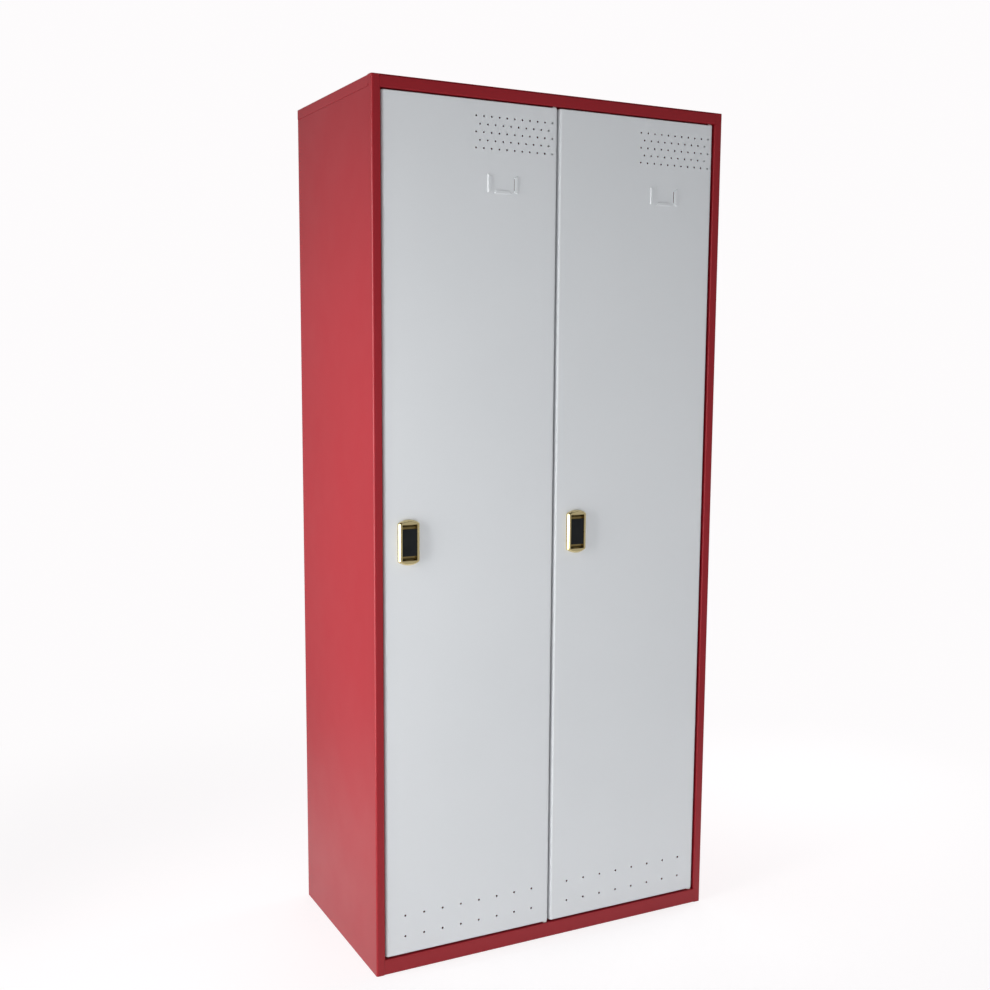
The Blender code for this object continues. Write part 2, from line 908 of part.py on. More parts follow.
def holder_slits():
    """The narrow openings that take the card's two edges and its foot."""
    centre = holder_x()
    inner_edge = (holder_rib_pitch - holder_rib_width) / 2
    low_y, high_y = door_face - seat_gap - holder_slit, door_face - seat_gap
    half_slit = holder_rib_open_length / 2 - holder_proud
    slits = []
    for side in (-1, 1):
        edges = sorted((side * (inner_edge - overrun), side * (inner_edge + holder_rib_width / 2)))
        slits.append(
            box(
                (centre + edges[0], low_y, holder_rib_middle() - half_slit),
                (centre + edges[1], high_y, holder_rib_middle() + half_slit),
            )
        )
    half_slit = holder_lip_open_length / 2 - holder_proud
    lip_top = holder_bottom + holder_lip_height
    lip_slit = box(
        (centre - half_slit, low_y, lip_top - holder_lip_height / 2),
        (centre + half_slit, high_y, lip_top + overrun),
    )
    return gathered(slits + [lip_slit])


def door_skin(material):
    """The door's pan: rolled front edges, welded ends and a lip all round the back."""
    skin = solid("door_skin_left", door_block(0), material)
    cut(skin, door_block(door_sheet))
    window = box(
        (door_left + door_back_lip, 0, door_bottom + door_back_lip),
        (door_right - door_back_lip, door_rear + overrun, door_top - door_back_lip),
    )
    rounded(window, lambda a, b: abs(a.y - b.y) > seat_gap, door_end_radius, bend_steps)
    cut(skin, window)
    add(skin, holder_forms(0))
    cut(skin, holder_forms(door_sheet))
    cut(skin, holder_slits())
    half_x, half_z = neck_width / 2 + cut_clearance, neck_length / 2 + cut_clearance
    lock_cutout = box(
        (lock_x - half_x, door_face - overrun, lock_height - half_z),
        (lock_x + half_x, skin_inner + overrun / 2, lock_height + half_z),
    )
    cut(skin, lock_cutout)
    radius = bush_outer() + seat_gap
    profile = [(0, -overrun), (radius, -overrun), (radius, overrun), (0, overrun)]
    end_holes = [moved(turned(profile, pin_sides), (0, 0, z)) for z in (door_bottom, door_top)]
    cut(skin, gathered(end_holes))
    vents = holes(vent_places(), vent_radius, vent_sides)
    field = holes(field_places(), field_radius, field_sides)
    cut(skin, gathered([vents, field]))
    return smooth(skin)


def door_stiffener(material):
    """A hat section behind the middle of the door."""
    base = skin_inner + seat_gap
    crown = door_rear - door_sheet - seat_gap
    flange, rise = stiffener_width / 2, stiffener_crown / 2
    path = [
        (-flange, base),
        (-rise, base),
        (-rise, crown - door_sheet),
        (rise, crown - door_sheet),
        (rise, base),
        (flange, base),
    ]
    outline = folded(path, door_sheet)
    middle = (door_left + door_right) / 2
    low, high = door_bottom + stiffener_foot, door_top - stiffener_head
    form = moved(prism(outline, "Z", low, high), (middle, 0, 0))
    return smooth(solid("door_stiffener_left", form, material))


def lock_outline(inset, end_inset):
    half = lock_width / 2
    crown = lock_length / 2
    arc = (half**2 + lock_rise**2) / (2 * lock_rise)
    corner = max(lock_corner - inset / 2, lock_corner * lock_corner_least_share)
    return arched(half - inset, crown - end_inset, arc - inset, corner)


def lock_ring(inset, proud):
    y = door_face - seat_gap - proud
    return [(lock_x + point.x, y, lock_height + point.y) for point in lock_outline(inset, inset)]


def lock_bezel(material):
    """The lock's front housing: upright rim, broad bevel and a sunk window."""
    stages = [
        (0, 0),
        (0, lock_wall_height),
        (lock_soft_edge, lock_wall_height + lock_soft_edge),
        (lock_bevel - lock_soft_edge, lock_proud - seat_gap - lock_soft_edge / 2),
        (lock_bevel, lock_proud - seat_gap),
    ]
    bezel = solid("lock_bezel_left", loft([lock_ring(i, p) for i, p in stages]), material)
    front = door_face - lock_proud
    window = lock_outline(lock_window_inset, lock_window_end_inset)
    outline = [(lock_x + point.x, lock_height + point.y) for point in window]
    cut(bezel, prism(outline, "Y", front - overrun, front + lock_window_depth))
    reach = lock_width / 2 - lock_window_inset
    centre = lock_length / 2 - lock_window_end_inset - cup_radius
    profile = [(0, -reach), (cup_radius, -reach), (cup_radius, reach), (0, reach)]
    cups = [
        moved(turned(profile, rod_sides, "X"), (lock_x, front, lock_height + side * centre))
        for side in (-1, 1)
    ]
    cut(bezel, gathered(cups))
    return smooth(bezel)


def lock_glass(material):
    half = lock_width / 2 - lock_window_inset - seat_gap
    rear = door_face - lock_proud + lock_window_depth - seat_gap
    form = box(
        (lock_x - half, rear - glass_thickness, lock_height - glass_length / 2),
        (lock_x + half, rear, lock_height + glass_length / 2),
    )
    on_face = lambda a, b: a.y < rear - seat_gap and b.y < rear - seat_gap
    rounded(form, on_face, lock_soft_edge / 2, bend_steps)
    return smooth(solid("lock_glass_left", form, material))


def lock_case(material):
    """The works behind the door, with the channel that guides the bolt."""
    front = skin_inner + seat_gap
    low_z, high_z = lock_height - case_length / 2, lock_height + case_length / 2
    form = box((case_x, front, low_z), (case_x + case_width, case_rear, high_z))
    far_side = lambda a, b: a.y > front + seat_gap or b.y > front + seat_gap
    rounded(form, far_side, case_edge, bend_steps)
    case = solid("lock_case_left", form, material)
    neck = box(
        (lock_x - neck_width / 2, door_face, lock_height - neck_length / 2),
        (lock_x + neck_width / 2, front + case_edge, lock_height + neck_length / 2),
    )
    add(case, neck)
    depth, height = bolt_depth / 2 + seat_gap, bolt_height / 2 + seat_gap
    channel = box(
        (case_x - overrun, bolt_y - depth, lock_height - height),
        (case_x + bolt_length - bolt_proud + seat_gap, bolt_y + depth, lock_height + height),
    )
    cut(case, channel)
    return smooth(case)


def battery_cover(material):
    low_y = case_rear + seat_gap
    high_y = low_y + battery_cover_thickness
    centre_x = case_x + case_width / 2
    centre_z = lock_height - battery_cover_drop
    half_x, half_z = battery_cover_width / 2, battery_cover_length / 2
    form = box(
        (centre_x - half_x, low_y, centre_z - half_z), (centre_x + half_x, high_y, centre_z + half_z)
    )
    corners = lambda a, b: abs(a.y - b.y) > seat_gap
    rounded(form, corners, case_edge, corner_steps)
    cover = solid("battery_cover_left", form, material)
    first = centre_z + half_z - grip_rib_pitch * 2
    ribs = [
        box(
            (centre_x - half_x / 2, high_y - sheet / 2, first - grip_rib_pitch * i - grip_rib_width),
            (centre_x + half_x / 2, high_y + grip_rib_height, first - grip_rib_pitch * i),
        )
        for i in range(grip_ribs)
    ]
    return smooth(add(cover, gathered(ribs)))


def lock_bolt(material):
    """A dead bolt, drawn back. Its tip is chamfered on all four sides."""
    tip = case_x - bolt_proud
    form = box(
        (tip, bolt_y - bolt_depth / 2, lock_height - bolt_height / 2),
        (tip + bolt_length, bolt_y + bolt_depth / 2, lock_height + bolt_height / 2),
    )
    at_tip = lambda a, b: a.x < tip + seat_gap and b.x < tip + seat_gap
    rounded(form, at_tip, bolt_chamfer, 1)
    return smooth(solid("lock_bolt_left", form, material))


def lock_keeper(name, edge_x, rear_of_lip, material):
    """An angle behind the door stop, with the slot that the bolt enters."""
    low_z, high_z = lock_height - keeper_length / 2, lock_height + keeper_length / 2
    near = rear_of_lip + seat_gap
    path = [(edge_x - keeper_leg, near), (edge_x, near), (edge_x, near + keeper_depth)]
    outline = folded(path, keeper_sheet)
    keeper = solid(name, prism(outline, "Z", low_z, high_z), material)
    depth = bolt_depth / 2 + keeper_slot_clearance
    height = bolt_height / 2 + 2 * keeper_slot_clearance
    centre = front_y + bolt_setback
    slot = box(
        (edge_x - keeper_sheet - overrun, centre - depth, lock_height - height),
        (edge_x + overrun, centre + depth, lock_height + height),
    )
    return smooth(cut(keeper, slot))


def door_buffer(name, x, height, material):
    """A rubber stud between the door's back lip and the door stop."""
    low, high = stop_y - seat_gap - buffer_height, stop_y - seat_gap
    soft = buffer_height / 4
    profile = [
        (0, low),
        (buffer_radius - soft, low),
        (buffer_radius, low + soft),
        (buffer_radius, high),
        (0, high),
    ]
    return smooth(solid(name, moved(turned(profile, vent_sides, "Y"), (x, 0, height)), material))


def hang(piece, side, pivot):
    """Puts a piece of the door pattern, or a copy of it, on a door's pivot."""
    if side == "left":
        piece.parent = pivot
        return piece
    copy = bpy.data.objects.new(piece.name.replace("left", side), piece.data)
    bpy.context.scene.collection.objects.link(copy)
    copy.parent = pivot
    return copy


def carcass(red, plated, rubber, nylon):
    side_panel("side_panel_left", -1, red)
    side_panel("side_panel_right", 1, red)
    top_cover(red)
    top_rail(red)
    bottom_rail(red)
    floor_panel(red)
    centre_partition(red)
    back_panel(red)
    for side_name, side in (("left", -1), ("right", 1)):
        shelf(f"shelf_{side_name}", side, red)
        hanging_rod(f"hanging_rod_{side_name}", side, plated)
        for end_name, outer in (("outer", True), ("inner", False)):
            shelf_runner(f"shelf_runner_{side_name}_{end_name}", side, outer, red)
            rod_cup(f"rod_cup_{side_name}_{end_name}", side, outer, plated)
        axis_x = axis_places[side_name]
        pivot_pin(f"pivot_pin_upper_{side_name}", axis_x, True, plated)
        pivot_pin(f"pivot_pin_lower_{side_name}", axis_x, False, plated)
        washer_low = opening_bottom + seat_gap
        washer_high = door_bottom - 2 * seat_gap - bush_flange
        ring(
            f"thrust_washer_{side_name}",
            pin_radius + running_gap,
            bush_flange_radius,
            washer_low,
            washer_high,
            nylon,
            location=(axis_x, axis_y, 0),
        )
    face = partition_face_width / 2
    lock_keeper("lock_keeper_left", -lip_edge_x, stop_y + sheet, plated)
    lock_keeper("lock_keeper_right", face, stop_y + hem, plated)
    buffer_inset = buffer_radius + seat_gap
    heights = {
        "lower": door_bottom + buffer_end_distance,
        "upper": door_top - buffer_end_distance,
    }
    for height_name, height in heights.items():
        door_buffer(f"door_buffer_{height_name}_left", -lip_edge_x - buffer_inset, height, rubber)
        door_buffer(f"door_buffer_{height_name}_right", face - buffer_inset, height, rubber)


def doors(grey, gilt, glass, plastic, plated, nylon):
    pivots = {}
    for side_name, axis_x in axis_places.items():
        pivots[side_name] = bpy.data.objects.new(f"door_axis_{side_name}", None)
        pivots[side_name].location = (axis_x, axis_y, 0)
        bpy.context.scene.collection.objects.link(pivots[side_name])
    pattern = [
        door_skin(grey),
        door_stiffener(grey),
        lock_bezel(gilt),
        lock_glass(glass),
        lock_case(plastic),
        battery_cover(plastic),
        lock_bolt(plated),
        pivot_bush("pivot_bush_upper_left", True, nylon, None),
        pivot_bush("pivot_bush_lower_left", False, nylon, None),
    ]
    for piece in pattern:
        for side_name, pivot in pivots.items():
            hang(piece, side_name, pivot)


def main():
    for leftover in list(bpy.data.objects):
        bpy.data.objects.remove(leftover)
    red = make_material("red_paint", red_paint, 0.42, 0.0)
    grey = make_material("grey_paint", grey_paint, 0.45, 0.0)
    gilt = make_material("gilt", gold, 0.22, 1.0)
    glass = make_material("black_glass", black_glass, 0.12, 0.0)
    plastic = make_material("black_plastic", black_plastic, 0.5, 0.0)
    plated = make_material("plated_steel", steel, 0.3, 1.0)
    nylon = make_material("white_nylon", white_nylon, 0.5, 0.0)
    rubber = make_material("black_rubber", black_rubber, 0.8, 0.0)
    carcass(red, plated, rubber, nylon)
    doors(grey, gilt, glass, plastic, plated, nylon)


main()
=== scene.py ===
# %% [markdown]
# # A two-door steel locker
#
# The locker is a cabinet of folded sheet steel with two doors that hang in its front frame.
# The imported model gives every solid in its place, so this lesson only dresses them: it adds
# the finishes, the fine sheet work, the locks' fronts and the small fixings.
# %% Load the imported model
import json
from math import atan2, cos, pi, radians, sin, sqrt

import bmesh
import bpy
from mathutils import Matrix, Vector


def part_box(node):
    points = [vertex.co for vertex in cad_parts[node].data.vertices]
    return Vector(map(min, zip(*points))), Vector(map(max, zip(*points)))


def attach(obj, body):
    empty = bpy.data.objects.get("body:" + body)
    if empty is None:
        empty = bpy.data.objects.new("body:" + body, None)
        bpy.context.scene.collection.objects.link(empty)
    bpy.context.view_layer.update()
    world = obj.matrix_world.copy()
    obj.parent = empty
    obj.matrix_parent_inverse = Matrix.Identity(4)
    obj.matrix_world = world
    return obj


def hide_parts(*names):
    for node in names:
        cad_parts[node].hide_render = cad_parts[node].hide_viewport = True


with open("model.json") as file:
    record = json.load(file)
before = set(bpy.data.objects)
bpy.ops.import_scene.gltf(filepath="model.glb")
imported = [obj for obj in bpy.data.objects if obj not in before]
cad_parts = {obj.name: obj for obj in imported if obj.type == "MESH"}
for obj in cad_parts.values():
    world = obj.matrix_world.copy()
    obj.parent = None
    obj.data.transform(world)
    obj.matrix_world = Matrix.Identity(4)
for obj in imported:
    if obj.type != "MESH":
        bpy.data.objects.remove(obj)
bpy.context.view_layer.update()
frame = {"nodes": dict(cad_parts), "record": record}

nodes = frame["nodes"]

# %% [markdown]
# ## The camera
#
# The photograph was taken from the locker's left, at the height of a person's chest, with
# upright edges that lean together. A camera could be aimed by eye until edges line up, or solved
# from points whose real places are known. It was solved from points on the cabinet's edges,
# which gives its place, its turn and the small shift of a cropped picture.
# %% Camera
camera_place = Vector((-1.4320, -2.8328, 1.4372))
camera_azimuth, camera_height, camera_roll = radians(-28.343), radians(7.688), radians(0.639)


def camera_turn(azimuth, height, roll):
    """The camera's turn. Azimuth 0 looks along +Y, and height is the view's downward slope."""
    back = Vector((sin(azimuth) * cos(height), -cos(azimuth) * cos(height), sin(height)))
    right = Vector((0, 0, 1)).cross(back).normalized()
    up = back.cross(right)
    across = cos(roll) * right + sin(roll) * up
    upward = -sin(roll) * right + cos(roll) * up
    return Matrix((across, upward, back)).transposed().to_4x4()


camera = bpy.data.objects.new("camera", bpy.data.cameras.new("camera"))
bpy.context.scene.collection.objects.link(camera)
camera.matrix_world = Matrix.Translation(camera_place) @ camera_turn(
    camera_azimuth, camera_height, camera_roll
)
camera.data.sensor_width = 36
camera.data.lens = 46.14
camera.data.shift_x = -0.04617
camera.data.shift_y = 0.02339
bpy.context.scene.camera = camera
print("camera at", tuple(round(c, 3) for c in camera_place))

# %% [markdown]
# ## Floor and surroundings
#
# The locker stands in a plain white studio. A modelled room would need walls in every
# view, so a broad pale floor and a plain world do the work. The world is only as bright as
# a soft fill. What the camera and polished metal see of it is a separate white, chosen by
# the Light Path node, so the background is white without more light on the steel. Gold and
# gloss paint that mirror white from every side look like flat colour. So what they mirror
# is whitest on the floor beside the locker, grey further out, and darker grey overhead, as
# in a real room.
# %% Helpers for nodes and meshes
def feed(tree, socket, value):
    """Links an input to another node's output, or sets it to a value."""
    if isinstance(value, bpy.types.NodeSocket):
        tree.links.new(value, socket)
    else:
        socket.default_value = value


def put(tree, kind, inputs, output=0):
    """Adds a node, links or sets its inputs, and returns one of its outputs."""
    node = tree.nodes.new(kind)
    for name, value in inputs.items():
        feed(tree, node.inputs[name], value)
    return node.outputs[output]


def calc(tree, operation, first, second=0.0):
    node = tree.nodes.new("ShaderNodeMath")
    node.operation = operation
    feed(tree, node.inputs[0], first)
    feed(tree, node.inputs[1], second)
    return node.outputs[0]


def mixed(tree, factor, one, other):
    """A colour between two, each a colour or another node's output."""
    mix = tree.nodes.new("ShaderNodeMix")
    mix.data_type = "RGBA"
    for name, value in (("Factor", factor), ("A", one), ("B", other)):
        feed(tree, mix.inputs[name], value)
    return mix.outputs["Result"]


def new_material(name):
    """A node material with its tree and its one Principled shader."""
    material = bpy.data.materials.new(name)
    material.use_nodes = True
    tree = material.node_tree
    return material, tree, tree.nodes["Principled BSDF"]


def mesh_object(name, form, material=None):
    """Turns a mesh form into an object in the scene."""
    mesh = bpy.data.meshes.new(name)
    form.to_mesh(mesh)
    form.free()
    if material:
        mesh.materials.append(material)
    piece = bpy.data.objects.new(name, mesh)
    bpy.context.scene.collection.objects.link(piece)
    return piece


def box_of(name):
    """The low corner, the high corner and the middle of a solid's box."""
    low, high = (Vector(corner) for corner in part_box(name))
    return low, high, (low + high) / 2


print("helpers are ready")

# %% Floor and world
backdrop_white, fill_colour = (0.985, 0.968, 0.975, 1), (0.96, 0.98, 1.0, 1)
fill_strength, glow_strength = 0.24, 0.79
floor_colour, shadow_colour = (0.90, 0.885, 0.89, 1), (0.30, 0.294, 0.297, 1)
floor_half, floor_roughness = 9.0, 0.9
near_floor, far_floor = 0.75, 2.2
horizon, overhead = 0.0, 0.7
room_grey, ceiling_grey = (0.45, 0.45, 0.46, 1), (0.12, 0.12, 0.125, 1)


def smooth_step(tree, value, low, high):
    """Rises smoothly from 0 at a low value to 1 at a high one."""
    step = tree.nodes.new("ShaderNodeMapRange")
    step.interpolation_type = "SMOOTHSTEP"
    for name, number in (("Value", value), ("From Min", low), ("From Max", high)):
        feed(tree, step.inputs[name], number)
    return step.outputs["Result"]


def straight_ray(tree):
    """1 for what the camera sees straight, in metal or through glass, and 0 for light."""
    path = tree.nodes.new("ShaderNodeLightPath").outputs
    seen = calc(tree, "MAXIMUM", path["Is Camera Ray"], path["Is Glossy Ray"])
    return calc(tree, "MAXIMUM", seen, path["Is Transmission Ray"])


def mirrored(tree):
    """1 for what polished gold and gloss paint mirror, and 0 for the rest."""
    return tree.nodes.new("ShaderNodeLightPath").outputs["Is Glossy Ray"]


world = bpy.data.worlds.new("studio")
bpy.context.scene.world = world
world.use_nodes = True
air = world.node_tree
air.nodes.clear()
direction = air.nodes.new("ShaderNodeTexCoord").outputs["Generated"]
upward = put(air, "ShaderNodeSeparateXYZ", {"Vector": direction}, "Z")
room = mixed(air, smooth_step(air, upward, horizon, overhead), room_grey, ceiling_grey)
seen_air = mixed(air, mirrored(air), backdrop_white, room)
fill = put(air, "ShaderNodeBackground", {"Color": fill_colour, "Strength": fill_strength})
backdrop = put(air, "ShaderNodeBackground", {"Color": seen_air})
choice = put(air, "ShaderNodeMixShader", {0: straight_ray(air), 1: fill, 2: backdrop})
air.links.new(choice, air.nodes.new("ShaderNodeOutputWorld").inputs["Surface"])

floor_material, ground, floor_shader = new_material("pale_floor")
floor_shader.inputs["Base Color"].default_value = floor_colour
floor_shader.inputs["Roughness"].default_value = floor_roughness
shadow = put(ground, "ShaderNodeBsdfDiffuse", {"Color": shadow_colour})
glow = put(ground, "ShaderNodeEmission", {"Color": backdrop_white, "Strength": glow_strength})
near = put(ground, "ShaderNodeAddShader", {0: shadow, 1: glow})
far_colour = mixed(ground, mirrored(ground), backdrop_white, room_grey)
far = put(ground, "ShaderNodeEmission", {"Color": far_colour})
reach = ground.nodes.new("ShaderNodeVectorMath")
reach.operation = "LENGTH"
ground.links.new(ground.nodes.new("ShaderNodeTexCoord").outputs["Object"], reach.inputs[0])
fade = smooth_step(ground, reach.outputs["Value"], near_floor, far_floor)
seen_floor = put(ground, "ShaderNodeMixShader", {0: fade, 1: near, 2: far})
floor_parts = {0: straight_ray(ground), 1: floor_shader.outputs[0], 2: seen_floor}
floor_choice = put(ground, "ShaderNodeMixShader", floor_parts)
ground.links.new(floor_choice, ground.nodes["Material Output"].inputs["Surface"])
floor_form = bmesh.new()
bmesh.ops.create_grid(floor_form, x_segments=1, y_segments=1, size=floor_half)
mesh_object("floor", floor_form, floor_material)
print("floor and world are set, fill strength", fill_strength)

# %% [markdown]
# ## The lamps
#
# The photograph shows the red side nearly twice as bright as the front frame, so the main
# light came from the left. One broad soft lamp stands close by there, and one further off
# lifts the front. The left one has a narrow spread, as a softbox with a grid has, and is in line
# with the doors, so that it only grazes them. It is no stronger than the red side needs,
# because the pale inside of an opened door faces it. Lamps behind, on the right and overhead
# keep the sides that the photograph hides readable. Only the left lamp shows in gloss: seen
# along a painted side, the others would glare there. Small bright lamps would draw hard
# shadows and hot spots on the painted steel.
# %% Lamps
locker_middle, locker_top = Vector((0, 0, 0.7)), Vector((0.1, 0.2, 2))
left_side_middle = Vector((-0.45, 0.0, 0.92))


def soft_lamp(name, place, aim, width, height, power, spread=180, in_gloss=True):
    """A rectangular lamp that faces a point. Its spread is the full angle of its light."""
    lamp = bpy.data.lights.new(name, "AREA")
    lamp.shape = "RECTANGLE"
    lamp.size, lamp.size_y = width, height
    lamp.energy, lamp.spread = power, radians(spread)
    holder = bpy.data.objects.new(name, lamp)
    bpy.context.scene.collection.objects.link(holder)
    holder.visible_camera, holder.visible_glossy = False, in_gloss
    holder.location = place
    holder.rotation_euler = (Vector(place) - aim).to_track_quat("Z", "Y").to_euler()


soft_lamp("lamp_left", (-1.70, -0.30, 1.02), left_side_middle, 1.0, 2.04, 17.2, spread=100)
soft_lamp("lamp_front", (-0.5, -3.6, 0.60), locker_middle, 2.6, 1.2, 48, in_gloss=False)
soft_lamp("lamp_rear", (1.5, 3.6, 1.2), locker_middle, 2.6, 1.2, 45, in_gloss=False)
soft_lamp("lamp_right", (2.20, 0.45, 0.90), locker_middle, 1.0, 1.6, 14, 120, in_gloss=False)
soft_lamp("lamp_top", (0.10, 0.35, 3.10), locker_top, 1.6, 0.8, 8, in_gloss=False)

# %% [markdown]
# ## Finishes
#
# Powder paint melts on the steel and leaves a satin skin with a fine orange peel. A flat
# colour would look like plastic card, so fine noise lifts the surface a little, and broad
# noise varies the sheen and the shade by a few hundredths. All noise reads the Object
# coordinates, which move with a door when it opens.
# %% Paint
noise_low, noise_high = 0.3, 0.7
paint_shade, paint_sheen, paint_peel, peel_depth = 2.2, 9.0, 520.0, 0.00006
paint_spread = 0.02


def noise(tree, scale, detail=2.0):
    """A noise on the object's own coordinates, in features to the metre."""
    place = tree.nodes.new("ShaderNodeTexCoord").outputs["Object"]
    return put(tree, "ShaderNodeTexNoise", {"Vector": place, "Scale": scale, "Detail": detail})


def between(tree, factor, low, high):
    """Spreads a noise's middle part over a range of numbers."""
    middle_part = {"Value": factor, "From Min": noise_low, "From Max": noise_high}
    return put(tree, "ShaderNodeMapRange", {**middle_part, "To Min": low, "To Max": high})


def shade(tree, shader, factor, one, other):
    """Varies a shader's colour between two."""
    colour = mixed(tree, between(tree, factor, 0, 1), one, other)
    tree.links.new(colour, shader.inputs["Base Color"])


def sheen(tree, shader, factor, roughness, spread):
    """Varies a shader's roughness to both sides of a middle value."""
    varied = between(tree, factor, roughness - spread, roughness + spread)
    tree.links.new(varied, shader.inputs["Roughness"])


def bump(tree, shader, factor, depth):
    relief = put(tree, "ShaderNodeBump", {"Strength": 1.0, "Distance": depth, "Height": factor})
    tree.links.new(relief, shader.inputs["Normal"])


def powder_paint(name, one, other, roughness, gloss):
    material, tree, shader = new_material(name)
    shade(tree, shader, noise(tree, paint_shade), one, other)
    sheen(tree, shader, noise(tree, paint_sheen), roughness, paint_spread)
    shader.inputs["Specular IOR Level"].default_value = gloss
    bump(tree, shader, noise(tree, paint_peel, 1.0), peel_depth)
    return material


# Two shades, the roughness and the gloss of each paint.
paints = {
    "red_paint": ((0.270, 0.006, 0.012, 1), (0.282, 0.008, 0.015, 1), 0.40, 0.42),
    "grey_paint": ((0.690, 0.712, 0.733, 1), (0.710, 0.732, 0.753, 1), 0.42, 0.40),
}
finishes = {name: powder_paint(name, *look) for name, look in paints.items()}
print("paints:", sorted(finishes))

# %% Other finishes
metal_shade, metal_detail, grain_spread, reader_gloss = 60.0, 3.0, 0.04, 0.2


def bright_metal(name, one, other, roughness, grain_scale):
    material, tree, shader = new_material(name)
    shader.inputs["Metallic"].default_value = 1.0
    shade(tree, shader, noise(tree, metal_shade), one, other)
    sheen(tree, shader, noise(tree, grain_scale, metal_detail), roughness, grain_spread)
    return material


def moulding(name, one, other, roughness, grain_scale, depth):
    material, tree, shader = new_material(name)
    grain = noise(tree, grain_scale)
    shade(tree, shader, grain, one, other)
    sheen(tree, shader, grain, roughness, grain_spread)
    bump(tree, shader, grain, depth)
    return material


# Two shades, the roughness and the grain's scale of each, and a moulding's grain depth.
metals = {
    "gilt": ((0.78, 0.64, 0.33, 1), (0.82, 0.69, 0.38, 1), 0.13, 90.0),
    # The liner's dark bronze-gold is painted shade: the gold as it looks in the lock's hollows.
    "painted_shade_gold": ((0.33, 0.24, 0.09, 1), (0.38, 0.28, 0.11, 1), 0.30, 70.0),
    "plated_steel": ((0.58, 0.59, 0.60, 1), (0.64, 0.65, 0.66, 1), 0.30, 240.0),
}
mouldings = {
    "reader_panel": ((0.008, 0.009, 0.010, 1), (0.011, 0.012, 0.013, 1), 0.10, 40.0, 0),
    "black_plastic": ((0.022, 0.022, 0.024, 1), (0.030, 0.030, 0.032, 1), 0.5, 900.0, 0.00005),
    "white_nylon": ((0.76, 0.76, 0.72, 1), (0.80, 0.80, 0.77, 1), 0.5, 400.0, 0.00003),
    "black_rubber": ((0.018, 0.018, 0.018, 1), (0.026, 0.026, 0.026, 1), 0.8, 700.0, 0.00005),
}
finishes.update({name: bright_metal(name, *look) for name, look in metals.items()})
finishes.update({name: moulding(name, *look) for name, look in mouldings.items()})
reader_shader = finishes["reader_panel"].node_tree.nodes["Principled BSDF"]
reader_shader.inputs["Specular IOR Level"].default_value = reader_gloss
print("finishes:", sorted(finishes))

# %% Give each solid its finish
slot_of = {row["node"]: row["material_slot"] for row in frame["record"]["subparts"]}
for name, node in nodes.items():
    node.data.materials.clear()
    node.data.materials.append(finishes[slot_of[name]])
print("solids with a finish:", len(slot_of))

# %% [markdown]
# ## The doors' pans
#
# Each door is one sheet of steel. Its face is pierced, its upright edges are rolled round,
# its ends are bent tighter, and a lip runs round the open back. Some seventy holes cut one by
# one with booleans would be slow and leave ragged faces. A flat outline can be filled
# around its holes in one step, so Geometry Nodes set out the rows of holes, fill the sheet
# between them and stand it upright. The rolled edges are then lofted round it.
# %% A tree with named inputs
def new_tree(name, inputs, takes_geometry=True):
    """A node tree with its named inputs, and its first and last node."""
    tree = bpy.data.node_groups.new(name, "GeometryNodeTree")
    first = [("Geometry", "Geometry")] if takes_geometry else []
    for title, kind in first + inputs:
        tree.interface.new_socket(title, in_out="INPUT", socket_type="NodeSocket" + kind)
    tree.interface.new_socket("Geometry", in_out="OUTPUT", socket_type="NodeSocketGeometry")
    return tree, tree.nodes.new("NodeGroupInput"), tree.nodes.new("NodeGroupOutput")


def worked(source, name, tree, values):
    """Runs a tree on an object and returns the result as a plain mesh."""
    modifier = source.modifiers.new(tree.name, "NODES")
    modifier.node_group = tree
    for item in tree.interface.items_tree:
        if item.in_out == "INPUT" and item.name in values:
            modifier[item.identifier] = values[item.name]
    graph = bpy.context.evaluated_depsgraph_get()
    mesh = bpy.data.meshes.new_from_object(source.evaluated_get(graph), depsgraph=graph)
    mesh.name = name
    source.modifiers.remove(modifier)
    return mesh


print("helpers for Geometry Nodes are ready")

# %% Rows of holes
hole_inputs = [
    ("Columns", "Int"), ("Rows", "Int"), ("Pitch", "Float"), ("Row Pitch", "Float"),
    ("Middle", "Vector"), ("Stagger", "Float"), ("Radius", "Float"), ("Sides", "Int"),
]


